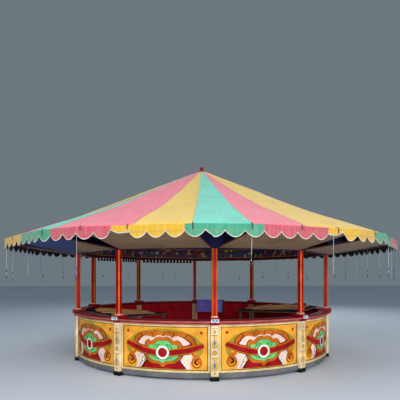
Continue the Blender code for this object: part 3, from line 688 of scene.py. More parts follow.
def make_roof(sizes, colours):
    """The canvas roof: one sheet of sewn gores with a dark inner side of painted shade."""
    parts = (0, 0.012, 0.03, 0.15, 0.32, 0.5, 0.68, 0.85, 0.97, 0.988)
    table = gore_table()
    columns = len(table) * len(parts)
    hole = CANVAS_HOLE / EAVE_APOTHEM
    shares = [hole + (1 - hole) * (row / 46) ** 0.9 for row in range(47)]
    bm = spun([(share, 0, 0) for share in shares], columns)
    layer = bm.loops.layers.uv.verify()
    facts = {}
    for vert in bm.verts:
        column = round(atan2(vert.co.y, vert.co.x) / (2 * pi) * columns) % columns
        facts[vert] = (vert.co.xy.length, column)
    for face in bm.faces:
        used = [facts[vert][1] for vert in face.verts]
        wraps = max(used) - min(used) > 1
        first = columns - 1 if wraps else min(used)
        gore = first // len(parts)
        for loop in face.loops:
            share, column = facts[loop.vert]
            part = parts[column % len(parts)] if column == first else (*parts, 1.0)[first % len(parts) + 1]
            loop[layer].uv = (3 * gore + table[gore][2] + part, share * EAVE_APOTHEM * 1.09)
    angles = [low + (high - low) * part for low, high, _ in table for part in parts]
    for corner in range(-1, SIDES - 1):
        angle = POST_FIRST_ANGLE + corner * STEP
        angles[min(range(columns), key=lambda column: abs(angles[column] - angle))] = angle
    for vert, (share, column) in facts.items():
        vert.co = roof_point(share, angles[column], parts[column % len(parts)], sizes.roof_sag)
    # The inner side is painted shade: a dark navy standing in for the shade under the roof canvas.
    skins = [canvas("roof_canvas", (colours.roof_green, colours.roof_pink, colours.roof_yellow), 0.55),
             shade_lining("roof_underside_painted_shade", display(0.12, 0.18, 0.42))]
    item = new_piece(bm, "roof_canvas", skins, nodes=("canopy",), smooth=60,
                     solid=False)
    cloth_wall(item, 0.0025, 1)


def tuck(angle):
    """How much of the valance hangs free in a direction; a tie gathers some of it up."""
    offset = degrees(angle - POST_FIRST_ANGLE)
    free = 1.0
    for middle, width in TUCKS:
        away = abs((offset - middle + 180) % 360 - 180) / width
        if away < 1:
            free -= (1 - away ** 4) * (0.40 if width > 1 else 0.15)
    return free


def make_valance(sizes, colours):
    """The scalloped strip round the edge, with a white bound hem."""
    lengths = sizes.lengths
    fine = 14
    columns = lengths * sizes.scallops_per_length * fine
    rows = 9
    hem = 0.011
    bm = spun([(1, 0, -row) for row in range(rows + 2)], columns)
    start = valance_start(lengths)
    layer = bm.loops.layers.uv.verify()
    facts = {}
    for vert in bm.verts:
        column = round(atan2(vert.co.y, vert.co.x) / (2 * pi) * columns) % columns
        row = round(-vert.co.z)
        lobe = (column % fine) / fine
        drop = VALANCE_DROP - sizes.scallop_depth * (1 - sin(pi * lobe) ** 0.85)
        drop *= tuck(start + 2 * pi * column / columns)
        depth = drop if row > rows else (drop - hem) * row / rows
        facts[vert] = (column, depth, row > rows - 1)
    for face in bm.faces:
        many = [facts[vert][0] for vert in face.verts]
        wraps = max(many) - min(many) > columns / 2
        for loop in face.loops:
            column, depth, _ = facts[loop.vert]
            if wraps and column < columns / 2:
                column += columns
            loop[layer].uv = (column * lengths / columns, depth)
        face.material_index = 1 if all(facts[vert][2] for vert in face.verts) else 0
    for vert, (column, depth, _) in facts.items():
        angle = start + 2 * pi * column / columns
        lobe = (column % fine) / fine
        share = depth / VALANCE_DROP
        flutter = noise.noise((cos(angle) * 16, sin(angle) * 16, 3)) * 0.012 * share
        curl = 0.006 * sin(pi * lobe) * share ** 2 - 0.004 * sin(pi * share)
        radius = eave_radius(angle) + 0.004 + flutter + curl
        vert.co = (radius * cos(angle), radius * sin(angle), EAVE_HEIGHT + 0.001 - depth)
    # The valance canvas gets a crease line of painted shade. Its inner sides are painted shade too: near
    # black behind the valance and grey behind the white hem.
    skins = [canvas("valance_canvas", (colours.valance_green, colours.valance_pink,
                                       colours.valance_yellow), 0.25, 0.012, True),
             tape("hem_white", display(0.86, 0.84, 0.78)),
             shade_lining("valance_underside_painted_shade", display(0.10, 0.12, 0.18)),
             shade_lining("hem_underside_painted_shade", display(0.62, 0.60, 0.56))]
    item = new_piece(bm, "valance_canvas", skins, nodes=("valance",),
                     smooth=60, solid=False)
    cloth_wall(item, 0.002, 2)


# ---------------------------------------------------------------- lines, hooks and ties
def round_line(name, points, radius, cyclic=False):
    """A round tube along points, as an object with a curve."""
    curve = bpy.data.curves.new(name, "CURVE")
    curve.dimensions = "3D"
    curve.bevel_depth = radius
    curve.bevel_resolution = 2
    curve.use_fill_caps = not cyclic
    spline = curve.splines.new("POLY")
    spline.points.add(len(points) - 1)
    for knot, point in zip(spline.points, points):
        knot.co = (*point, 1)
    spline.use_cyclic_u = cyclic
    return linked(name, curve)


def curve_mesh(name, points, radius, cyclic=False):
    """A round tube along points, as a bmesh."""
    holder = round_line(name, points, radius, cyclic)
    view = bpy.context.evaluated_depsgraph_get()
    view.update()
    mesh = bpy.data.meshes.new_from_object(holder.evaluated_get(view))
    bpy.data.objects.remove(holder)
    bm = bmesh.new()
    bm.from_mesh(mesh)
    bpy.data.meshes.remove(mesh)
    bmesh.ops.remove_doubles(bm, verts=bm.verts, dist=0.00002)
    return bm


def eave_point(angle, inset, height):
    """A point beside the canvas edge."""
    radius = eave_radius(angle) - inset
    return Vector((radius * cos(angle), radius * sin(angle), height))


def hook_points(place, angle, size):
    """An S-shaped hook under a point, in the plane that faces outwards."""
    along = Vector((-sin(angle), cos(angle), 0))
    points = [place + Vector((0, 0, 0.004))]
    for first, last, sweep, radius in ((0, 9, -1.1, size * 0.42), (1, 11, 1, size * 0.5)):
        for step in range(first, last):
            turn = pi / 2 + step * pi / 8 * sweep
            points.append(place + along * cos(turn) * radius + Vector((0, 0, (sin(turn) - 1) * radius)))
        place = points[-1]
    return points


def make_lines():
    """The thin lines that hang inside the edge, most with a hook, and the rope they are tied to."""
    rope = tape("eave_rope", display(0.55, 0.48, 0.38))
    ring = []
    for number in numbers():
        for part in range(-6, 7):
            ring.append(eave_point(bay_angle(number) + EAVE_CORNER_ANGLE * part / 6, ROPE_INSET, LINE_TOP))
    new_piece(curve_mesh("eave_rope", ring, ROPE_RADIUS, True), "eave_rope", [rope],
              nodes=("hook_lines",))
    shades = [tape("twine_white", display(0.95, 0.95, 0.92)), tape("twine_grey", display(0.80, 0.84, 0.86)),
              tape("twine_blue", display(0.20, 0.30, 0.50))]
    metals = [iron("hook_dark", (0.05, 0.06, 0.08)), tape("hook_taped", display(0.97, 0.97, 0.93)),
              iron("hook_blue", (0.05, 0.12, 0.34))]
    for count, direction in enumerate(LINE_DIRECTIONS):
        angle = POST_FIRST_ANGLE + radians(direction)
        name = f"hanging_line_{count + 1:02d}"
        exit_point = eave_point(angle, ROPE_INSET, LINE_TOP)
        length = LINE_LENGTH * (0.90 - (0.12 * abs(sin(count * 2.3)) if count else 0.30))
        along = Vector((-sin(angle), cos(angle), 0))
        points = []
        for step in range(24):
            part = step / 23
            sway = 0.006 * sin(part * (5 + count % 4) + count) * part
            points.append(exit_point + along * sway + Vector((0, 0, -length * part)))
        item = round_line(name, points, LINE_DIAMETER / 2)
        item.data.materials.append(shades[(0, 1, 0, 2, 1)[count % 5]])
        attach(item, "stall")
        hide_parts("hook_lines")
        if count % 3 != 1:
            hook = curve_mesh("hook", hook_points(points[-1], angle, HOOK_SIZE), HOOK_RADIUS)
            clip = Matrix.Translation(points[-4]) @ Matrix.Diagonal((1, 1, 3.2, 1))
            bmesh.ops.create_uvsphere(hook, u_segments=12, v_segments=8, radius=0.007, matrix=clip)
            new_piece(hook, f"line_hook_{count + 1:02d}", [metals[count % 3]])


def make_ties():
    """Dark tapes that tie the canvas edge down, each with a small pale toggle."""
    bm = bmesh.new()
    half = 0.006
    for direction in TIE_DIRECTIONS:
        angle = POST_FIRST_ANGLE + radians(direction)
        radius = eave_radius(angle)
        long = 0.075 + 0.02 * sin(direction * 3.1)
        top = EAVE_HEIGHT + 0.012
        before = set(bm.faces)
        add_box(bm, (-half, radius + 0.009, top - long), (half, radius + 0.0105, top), 0, 0.0004, 1)
        add_box(bm, (-half, radius - 0.06, top), (half, radius + 0.0105, top + 0.0025), 0, 0.0004, 1)
        add_box(bm, (-half * 1.7, radius + 0.008, top - 0.042), (half * 1.7, radius + 0.015, top - 0.028),
                1, 0.002, 2)
        turn_new(bm, before, angle)
    new_piece(bm, "canvas_ties", [tape("tie_black", display(0.10, 0.10, 0.11)),
                                  paint("toggle", display(0.42, 0.32, 0.22), 0.5)])


# ---------------------------------------------------------------- painted work on the counter
PAINT_LAYER = 0.0007
PAINT_SINK = 0.0005


class Artist:
    """Draws cut-outs on a flat face. The face is width by height, (0, 0) its top left from outside."""

    def __init__(self, bm, width, height, top, face_y):
        self.bm = bm
        self.width = width
        self.height = height
        self.top = top
        self.face_y = face_y

    def spot(self, across, down):
        """A place on the face, in metres."""
        return Vector(((0.5 - across) * self.width, self.top - down * self.height))

    def cut(self, outline, ink, layer):
        """Add one cut-out from an outline in metres. Each layer stands a little prouder."""
        plate(self.bm, outline, self.face_y - PAINT_SINK, PAINT_LAYER * layer + PAINT_SINK, INK[ink])

    def shape(self, points, ink, layer, steps=5):
        """A smooth closed shape through a few points."""
        self.cut([self.spot(*point) for point in curve_through(points, steps, True)], ink, layer)

    def sharp(self, points, ink, layer):
        """A straight-sided closed shape."""
        self.cut([self.spot(*point) for point in points], ink, layer)

    def disc(self, across, down, radius, ink, layer, squash=1.0, sides=28):
        """A round or oval spot; radius is in metres."""
        middle = self.spot(across, down)
        turns = [2 * pi * k / sides for k in range(sides)]
        outline = [middle + Vector((cos(turn) * radius, sin(turn) * radius * squash)) for turn in turns]
        self.cut(outline, ink, layer)

    def star(self, across, down, radius, ink, layer):
        """A five-pointed star; radius is in metres."""
        middle = self.spot(across, down)
        outline = []
        for k in range(10):
            reach = radius * (0.42 if k % 2 else 1)
            turn = pi / 2 + k * pi / 5
            outline.append(middle + Vector((cos(turn) * reach, sin(turn) * reach)))
        self.cut(outline, ink, layer)

    def stroke(self, points, width, ink, layer, steps=6, tail=0.15, head=0.15):
        """A brush stroke along a smooth line, width in metres, thin at its ends."""
        line = [self.spot(*point) for point in curve_through(points, steps)]
        count = len(line) - 1
        left, right = [], []
        for place, point in enumerate(line):
            ahead = line[min(place + 1, count)] - line[max(place - 1, 0)]
            side = Vector((-ahead.y, ahead.x)).normalized()
            part = place / count
            swell = sin(pi * min(1, part)) ** 0.6
            full = tail * (1 - part) + head * part
            half = width / 2 * (full + (1 - full) * swell)
            left.append(point + side * half)
            right.append(point - side * half)
        self.cut(left + right[::-1], ink, layer)


# the signwriter's paints as they look; cream and gold come from the properties
INK_SHADES = {
    "cream": None, "gold": None, "line_dark": (0.24, 0.12, 0.08), "olive": (0.66, 0.56, 0.16),
    "orange": (0.78, 0.40, 0.04), "red": (0.63, 0.01, 0.06), "dark_red": (0.32, 0.02, 0.04),
    "green": (0.42, 0.80, 0.46), "dark_green": (0.08, 0.28, 0.15), "white_pink": (0.97, 0.82, 0.76),
    "pink": (0.90, 0.55, 0.52), "black": (0.08, 0.06, 0.06), "yellow": (0.95, 0.74, 0.14),
    "teal": (0.20, 0.60, 0.60), "blue": (0.22, 0.42, 0.74), "white": (0.94, 0.93, 0.87),
    "flesh": (0.98, 0.86, 0.72),
}
INK = {name: place for place, name in enumerate(INK_SHADES)}


def ink_materials(colours):
    """The signwriter's paints, in the order of INK."""
    own = {"cream": tuple(colours.frame_cream), "gold": tuple(colours.field_gold)}
    return [paint("ink_" + name, own[name] if name in own else display(*shade), 0.45, 0.35)
            for name, shade in INK_SHADES.items()]


def framed(draw, points, layer, bands):
    """One closed shape drawn in bands, each a little smaller than the one before."""
    middle = sum((Vector(point) for point in points), Vector((0, 0))) / len(points)
    for step, (name, size) in enumerate(bands):
        draw.shape([tuple(middle + (Vector(point) - middle) * size) for point in points], name,
                   layer + step)


def draw_panel(draw):
    """Scrolls, ribbons, a leaf cartouche and a ringed boss: traditional show-ground ornament."""
    draw.disc(0.500, 0.500, 0.605, "olive", 1, 0.475, 56)
    draw.disc(0.500, 0.540, 0.520, "gold", 2, 0.440, 56)
    draw.disc(0.500, 0.580, 0.440, "yellow", 3, 0.350, 48)
    for across, down in ((0.061, 0.12), (0.933, 0.13)):
        draw.star(across, down, 0.036, "red", 2)
    draw.sharp([(0.245, 0.985), (0.267, 0.88), (0.309, 0.78), (0.314, 0.60), (0.686, 0.60), (0.705, 0.78),
                (0.743, 0.88), (0.777, 0.985)], "dark_red", 4)
    draw.sharp([(0.267, 0.975), (0.288, 0.89), (0.330, 0.79), (0.335, 0.60), (0.667, 0.60), (0.686, 0.79),
                (0.724, 0.89), (0.758, 0.975)], "red", 5)
    crest = [(0.143, 0.37), (0.165, 0.25), (0.229, 0.145), (0.303, 0.115), (0.361, 0.125), (0.418, 0.085),
             (0.484, 0.105), (0.519, 0.105), (0.579, 0.085), (0.628, 0.125), (0.696, 0.115), (0.772, 0.145),
             (0.837, 0.23), (0.869, 0.33), (0.846, 0.47), (0.529, 0.52), (0.165, 0.47)]
    framed(draw, crest, 6, (("dark_red", 1.0), ("orange", 0.97)))
    hollow = [(0.203, 0.43), (0.199, 0.33), (0.251, 0.225), (0.314, 0.215), (0.387, 0.245), (0.423, 0.20),
              (0.469, 0.19), (0.504, 0.225), (0.539, 0.19), (0.589, 0.20), (0.618, 0.245), (0.676, 0.20),
              (0.743, 0.245), (0.800, 0.32), (0.819, 0.42), (0.529, 0.50)]
    draw.shape(hollow, "dark_red", 8)
    framed(draw, hollow, 8, (("red", 0.99), ("white_pink", 0.92)))
    for start, end in (((0.361, 0.125), (0.387, 0.225)), ((0.519, 0.105), (0.504, 0.20)),
                       ((0.628, 0.125), (0.618, 0.225)), ((0.219, 0.16), (0.256, 0.23)),
                       ((0.781, 0.16), (0.753, 0.24))):
        draw.stroke([start, ((start[0] + end[0]) / 2 + 0.006, (start[1] + end[1]) / 2), end], 0.012,
                    "dark_red", 8)
    for turn in (1, -1):
        pale = [(0.5 + (x - 0.5) * turn, y) for x, y in (
            (0.160, 0.64), (0.235, 0.595), (0.310, 0.61), (0.315, 0.70), (0.268, 0.80), (0.238, 0.985),
            (0.170, 0.985), (0.192, 0.87), (0.168, 0.76))]
        draw.sharp([(x + 0.006 * turn, y) for x, y in pale], "dark_red", 6)
        draw.sharp(pale, "white_pink", 7)
    for zigzag in ([(0.295, 0.70), (0.267, 0.78), (0.256, 0.86), (0.224, 0.96)],
                   [(0.701, 0.735), (0.724, 0.82), (0.748, 0.88), (0.777, 0.975)]):
        draw.stroke(zigzag, 0.046, "black", 8, 6, 0.7, 0.7)
        draw.stroke([(x + 0.003, y - 0.004) for x, y in zigzag], 0.034, "white", 9, 6, 0.7, 0.7)
        for part in (0.2, 0.5, 0.8):
            place = zigzag[0][0] + (zigzag[3][0] - zigzag[0][0]) * part
            height = zigzag[0][1] + (zigzag[3][1] - zigzag[0][1]) * part
            draw.stroke([(place - 0.012, height + 0.01), (place, height), (place + 0.012, height - 0.005)],
                        0.006, "black", 10)
    upper = [(0.298, 0.50), (0.293, 0.38), (0.330, 0.30), (0.371, 0.335), (0.418, 0.26), (0.469, 0.225),
             (0.504, 0.25), (0.539, 0.225), (0.589, 0.26), (0.628, 0.325), (0.667, 0.305), (0.710, 0.38),
             (0.720, 0.48), (0.647, 0.56), (0.366, 0.56)]
    lower = [(0.298, 0.62), (0.303, 0.75), (0.361, 0.865), (0.453, 0.88), (0.499, 0.955), (0.554, 0.88),
             (0.647, 0.85), (0.705, 0.75), (0.715, 0.62), (0.499, 0.58)]
    framed(draw, upper, 10, (("dark_red", 1.02), ("orange", 0.97)))
    framed(draw, lower, 10, (("dark_red", 1.03), ("orange", 0.97)))
    green_upper = [(0.324, 0.455), (0.351, 0.43), (0.397, 0.42), (0.433, 0.345), (0.469, 0.315),
                   (0.504, 0.325), (0.539, 0.31), (0.574, 0.34), (0.603, 0.405), (0.652, 0.42),
                   (0.676, 0.445), (0.647, 0.55), (0.499, 0.60), (0.366, 0.55)]
    green_lower = [(0.324, 0.66), (0.351, 0.745), (0.402, 0.80), (0.464, 0.805), (0.499, 0.86), (0.539, 0.80),
                   (0.613, 0.795), (0.662, 0.735), (0.676, 0.655), (0.499, 0.60)]
    for green in (green_upper, green_lower):
        framed(draw, green, 12, (("dark_green", 1.03), ("green", 0.97)))
    for away in (-0.11, -0.07, 0.07, 0.11):
        draw.stroke([(0.500 + away, 0.52), (0.500 + away * 0.8, 0.44), (0.500 + away * 0.4, 0.40)], 0.010,
                    "dark_green", 14)
        draw.stroke([(0.500 + away, 0.67), (0.500 + away * 0.8, 0.73), (0.500 + away * 0.4, 0.76)], 0.010,
                    "dark_green", 14)
    for ribbon in ([(0.499, 0.605), (0.397, 0.60), (0.282, 0.555), (0.165, 0.475), (0.050, 0.385)],
                   [(0.499, 0.605), (0.608, 0.595), (0.715, 0.56), (0.819, 0.525), (0.960, 0.42)]):
        draw.stroke([(x, y + 0.055) for x, y in ribbon], 0.060, "black", 13, 8, 0.8, 0.3)
        draw.stroke([(x, y + 0.004) for x, y in ribbon], 0.106, "orange", 14, 8, 0.95, 0.75)
        draw.stroke([(x, y + 0.004) for x, y in ribbon], 0.070, "dark_red", 15, 8, 0.95, 0.62)
        draw.stroke(ribbon, 0.058, "red", 16, 8, 0.95, 0.55)
    for middle, turn in ((0.116, 1), (0.884, -1)):
        down = 0.80 if turn == 1 else 0.83
        draw.stroke([(middle + 0.055 * turn, down - 0.20), (middle - 0.01 * turn, down - 0.13),
                     (middle - 0.04 * turn, down - 0.04)], 0.050, "orange", 8, 6, 0.7, 0.7)
        draw.disc(middle, down, 0.078, "dark_red", 8, 1.0, 28)
        draw.disc(middle, down, 0.071, "orange", 9, 1.0, 28)
        draw.stroke([(middle - 0.025 * turn, down - 0.10), (middle + 0.012 * turn, down - 0.05),
                     (middle + 0.014 * turn, down + 0.02), (middle - 0.012 * turn, down + 0.045)], 0.026,
                    "black", 10, 6, 0.2, 0.2)
        draw.stroke([(middle - 0.035 * turn, down + 0.03), (middle - 0.005 * turn, down + 0.08),
                     (middle + 0.035 * turn, down + 0.03)], 0.014, "yellow", 10, 6, 0.2, 0.2)
    draw.disc(0.500, 0.605, 0.106, "black", 17, 1.0, 40)
    draw.disc(0.500, 0.600, 0.101, "white", 18, 1.0, 40)
    draw.disc(0.500, 0.600, 0.070, "black", 19, 1.0, 40)
    draw.disc(0.500, 0.600, 0.066, "red", 20, 1.0, 40)


def add_border(bm, half, low, high, width, outer, index, bevel):
    """Four bars that frame a panel's field."""
    for left, right, down, up in ((-half, half, high - width, high), (-half, half, low, low + width),
                                  (-half, width - half, low + width, high - width),
                                  (half - width, half, low + width, high - width)):
        add_box(bm, (left, POST_RADIUS - 0.0009, down), (right, outer, up), index, bevel, 2)


def make_panels(colours):
    """Ten framed boards with the painted field, and their plain red inner faces."""
    low, high = PANEL_LOW, PANEL_HIGH
    clear = PANEL_CLEAR
    half = bay_half(clear)
    outer = POST_RADIUS + PANEL_FRAME_PROUD
    back = POST_RADIUS - PANEL_THICKNESS
    width = PANEL_FRAME
    inks = ink_materials(colours) + [paint("inner_red", display(0.76, 0.02, 0.12), 0.6, 0.2)]
    bm = bmesh.new()
    add_box(bm, (-half, back, low), (half, POST_RADIUS - 0.001, high), INK["gold"], 0.0008, 1)
    for face in bm.faces:
        if face.calc_center_median().y < back + 0.004:
            face.material_index = len(INK)
    lip = PANEL_FRAME_LIP
    inner_half = half - width
    add_border(bm, half, low, high, width, outer, INK["cream"], 0.003)
    add_border(bm, inner_half, low + width, high - width, lip, outer - 0.005, INK["line_dark"], 0.0015)
    field = 2 * (inner_half - lip)
    tall = high - low - 2 * (width + lip)
    draw_panel(Artist(bm, field, tall, high - width - lip, POST_RADIUS - 0.001))
    map_flat(bm)
    bend(bm, clear)
    for number in numbers():
        turned = bm.copy()
        turn_to(turned, bay_angle(number))
        new_piece(turned, f"painted_panel_{number:02d}", inks, nodes=(f"counter_panel_{number:02d}",),
                  smooth=25)
    bm.free()


def rail_outline():
    """Parts of the counter moulding in (y, z), each with its paint."""
    top = COUNTER_TOP
    low = COUNTER_LOW
    outer = POST_RADIUS + RAIL_OUTWARD
    inner = POST_RADIUS - RAIL_INWARD
    nose = 0.014
    shelf = [(inner, top - 0.030), (inner, top - 0.003), (inner + 0.003, top)]
    quarter = [(sin(pi / 2 * k / 6), cos(pi / 2 * k / 6)) for k in range(7)]
    shelf += [(outer - nose + nose * rise, top - nose + nose * run) for rise, run in quarter]
    shelf += [(outer - nose + nose * run, top - 0.018 - nose * 0.8 * rise) for rise, run in quarter]
    back = POST_RADIUS - PANEL_THICKNESS
    cove = [(back, low), (back, top - 0.0305)]
    cove += [(outer - 0.026, top - 0.0305), (outer - 0.026, top - 0.036)]
    cove += [(outer - 0.030 - (outer - POST_RADIUS - 0.066) * rise, top - 0.038 - 0.016 * (1 - run))
             for rise, run in quarter]
    cove += [(POST_RADIUS + 0.036, low + 0.006), (POST_RADIUS + 0.034, low)]
    return shelf, cove


def make_rails(colours):
    """Ten moulded rails with pale lines of painted highlight, cut to the capitals."""
    crimson = paint("rail_crimson", tuple(colours.rail_crimson), 0.30, 0.6)
    # The pale paint is painted highlight, for the light lines along the rounded moulding.
    pale = paint("rail_painted_highlight", display(0.96, 0.66, 0.62), 0.4, 0.6)
    worn = paint("counter_worn", display(0.60, 0.05, 0.11), 0.60, 0.5, (0.24, 0.12, 0.08))
    clear = RAIL_CLEAR
    half = bay_half(clear)
    for number in numbers():
        bm = bmesh.new()
        for outline in rail_outline():
            bar_profile(bm, outline, half, 0)
        # Three thin pale beads along the moulding: painted highlight, for the light lines on its rounded
        # edges.
        for depth, height in ((RAIL_OUTWARD + 0.0003, 0.017), (RAIL_OUTWARD - 0.0255, 0.0335),
                              (0.0375, 0.0600)):
            ring = [(POST_RADIUS + depth - 0.002 + 0.0028 * cos(k * pi / 4),
                     COUNTER_TOP - height + 0.0028 * sin(k * pi / 4)) for k in range(8)]
            bar_profile(bm, ring, half, 1)
        bm.normal_update()
        for face in bm.faces:
            if face.normal.z > 0.9 and face.calc_center_median().z > COUNTER_TOP - 0.002:
                face.material_index = 2
        map_flat(bm)
        bend(bm, clear)
        turn_to(bm, bay_angle(number))
        new_piece(bm, f"moulded_rail_{number:02d}", [crimson, pale, worn],
                  nodes=(f"counter_rail_{number:02d}",), smooth=30)


def draw_pilaster(draw):
    """Dots, lozenges, drop-shaped frames and a flower down the face of a boxed post."""
    for across in (0.24, 0.5, 0.76):
        draw.disc(across, 0.045 if across == 0.5 else 0.055, 0.0075, "red", 1, 1.0, 12)
    for down, size in ((0.125, 1.0), (0.955, 0.8)):
        for name, grow, layer in (("line_dark", 1.35, 1), ("yellow", 1.0, 2)):
            wide, tall = 0.18 * size * grow, 0.032 * size * grow
            draw.sharp([(0.5 - wide, down), (0.5, down - tall), (0.5 + wide, down), (0.5, down + tall)],
                       name, layer)
    for top, low in ((0.185, 0.445), (0.640, 0.900)):
        tall = low - top
        for name, grow, layer in (("line_dark", 1.0, 1), ("yellow", 0.88, 2), ("flesh", 0.42, 3)):
            wide = 0.42 * grow
            inset = tall * (1 - grow) * 0.28
            draw.shape([(0.5 - wide, top + inset), (0.5, top + inset * 1.3), (0.5 + wide, top + inset),
                        (0.5 + wide * 0.62, top + tall * 0.30), (0.5 + wide, top + tall * 0.72),
                        (0.5 + wide * 0.6, low - inset), (0.5, low - inset * 0.6),
                        (0.5 - wide * 0.6, low - inset), (0.5 - wide, top + tall * 0.72),
                        (0.5 - wide * 0.62, top + tall * 0.30)], name, layer)
        draw.stroke([(0.5, top + 0.03), (0.49, top + tall * 0.28), (0.5, top + tall * 0.45)], 0.010,
                    "red", 4)
        draw.shape([(0.5, top + tall * 0.38), (0.64, top + tall * 0.62), (0.5, top + tall * 0.90),
                    (0.36, top + tall * 0.62)], "line_dark", 4)
        draw.shape([(0.5, top + tall * 0.44), (0.60, top + tall * 0.63), (0.5, top + tall * 0.85),
                    (0.40, top + tall * 0.63)], "blue", 5)
        draw.shape([(0.5, top + tall * 0.56), (0.55, top + tall * 0.66), (0.5, top + tall * 0.80),
                    (0.46, top + tall * 0.66)], "teal", 6)
    for name, reach, layer in (("line_dark", 0.037, 1), ("yellow", 0.030, 2)):
        middle = draw.spot(0.5, 0.545)
        turns = [k * pi / 3 + pi / 6 for k in range(6)]
        ring = [middle + Vector((cos(turn), sin(turn))) * reach for turn in turns]
        draw.cut(ring, name, layer)
    draw.disc(0.5, 0.545, 0.010, "orange", 3, 1.0, 14)


def draw_capital(draw):
    """Blue ground with a white carved chevron."""
    draw.sharp([(0.03, 0.05), (0.97, 0.05), (0.97, 0.95), (0.03, 0.95)], "white", 1)
    draw.sharp([(0.07, 0.14), (0.93, 0.14), (0.78, 0.62), (0.60, 0.90), (0.40, 0.90), (0.22, 0.62)],
               "blue", 2)
    draw.sharp([(0.34, 0.30), (0.66, 0.30), (0.58, 0.66), (0.50, 0.84), (0.42, 0.66)], "white", 3)
    draw.sharp([(0.43, 0.32), (0.57, 0.32), (0.50, 0.58)], "teal", 4)


def make_posts(colours):
    """Ten posts: lined red shaft, collar, carved capital, painted pilaster and black foot."""
    extra = [paint("post_red", tuple(colours.post_red), 0.30, 0.5),
             paint("arris_orange", tuple(colours.arris_orange), 0.35, 0.5),
             paint("foot_black", display(0.06, 0.07, 0.07), 0.5, 0.6),
             paint("foot_green", display(0.10, 0.30, 0.18), 0.5, 0.4),
             boards("inner_timber", display(0.96, 0.72, 0.44), "Y"),
             paint("rail_crimson", tuple(colours.rail_crimson), 0.45, 0.5)]
    inks = ink_materials(colours) + extra
    red, arris, black, green, timber, crimson = (len(INK) + k for k in range(6))
    half = POST_HALF
    top = HEADER_LOW.z - 0.0003
    for number in numbers():
        bm = bmesh.new()
        before = set(bm.faces)
        place = Matrix.Translation((0, 0, (CAPITAL_TOP + top) / 2)) @ Matrix.Diagonal(
            (2 * half, 2 * half, top - CAPITAL_TOP, 1))
        verts = bmesh.ops.create_cube(bm, size=1, matrix=place)["verts"]
        upright = [edge for vert in verts for edge in vert.link_edges
                   if abs(edge.verts[0].co.z - edge.verts[1].co.z) > half]
        made = round_edges(bm, list(set(upright)), POST_CHAMFER, 1)
        for face in bm.faces:
            if face not in before:
                face.material_index = red
        for face in made["faces"]:
            face.material_index = arris
        rims = [edge for edge in bm.edges if edge.calc_face_angle(0) > radians(30)
                and abs(edge.verts[0].co.z - edge.verts[1].co.z) > half]
        round_edges(bm, rims, 0.0015)
        add_box(bm, (-0.050, -0.050, CAPITAL_TOP), (0.050, 0.050, CAPITAL_TOP + 0.012), INK["pink"], 0.004, 3)
        add_box(bm, (-0.046, -0.046, CAPITAL_TOP + 0.011), (0.046, 0.046, CAPITAL_TOP + 0.025),
                INK["cream"], 0.006, 3)
        add_box(bm, (-0.0645, -0.1345, COUNTER_LOW), (0.0645, 0.060, CAPITAL_TOP), crimson, 0.003, 2)
        block = add_box(bm, (-CAPITAL_HALF, -0.045, CAPITAL_LOW),
                        (CAPITAL_HALF, CAPITAL_FRONT - 0.001, CAPITAL_TOP - 0.011), crimson, 0.004, 2)
        for vert in face_verts(block):
            if vert.co.z < (CAPITAL_LOW + CAPITAL_TOP) / 2 and vert.co.y > 0:
                vert.co.x *= 0.86
        add_box(bm, (-CAPITAL_HALF, -CAPITAL_BACK, CAPITAL_TOP - 0.012),
                (CAPITAL_HALF, CAPITAL_FRONT, CAPITAL_TOP - 0.0005), crimson, 0.004, 2)
        add_box(bm, (-0.064, -0.045, COUNTER_LOW - 0.002), (0.064, 0.066, CAPITAL_LOW + 0.004),
                crimson, 0.003, 2)
        foot = FOOT_HEIGHT
        add_box(bm, (-0.060, -0.040, foot), (0.060, 0.046, COUNTER_LOW - 0.0005), INK["flesh"], 0.003, 2)
        add_box(bm, (-0.050, -0.043, foot + 0.03), (0.050, -0.039, COUNTER_LOW - 0.002), timber, 0.001, 1)
        for side in (-1, 1):
            add_box(bm, (side * 0.054 - 0.005, 0.044, foot + 0.02),
                    (side * 0.054 + 0.005, 0.049, COUNTER_LOW - 0.004), INK["cream"], 0.002, 2)
        add_box(bm, (-0.065, -0.055, 0), (0.065, 0.055, foot - 0.010), black, 0.004, 2)
        add_box(bm, (-0.062, -0.050, foot - 0.011), (0.062, 0.052, foot + 0.006), green, 0.003, 2)
        tall = COUNTER_LOW - foot - 0.03
        draw_pilaster(Artist(bm, 0.100, tall, COUNTER_LOW - 0.012, 0.046))
        draw_capital(Artist(bm, 0.122, CAPITAL_TOP - CAPITAL_LOW - 0.013, CAPITAL_TOP - 0.012,
                            CAPITAL_FRONT - 0.001))
        map_flat(bm)
        bmesh.ops.translate(bm, verts=bm.verts, vec=(0, POST_RADIUS, 0))
        turn_to(bm, post_angle(number))
        new_piece(bm, f"painted_post_{number:02d}", inks, nodes=(f"post_{number:02d}",),
                  smooth=28)


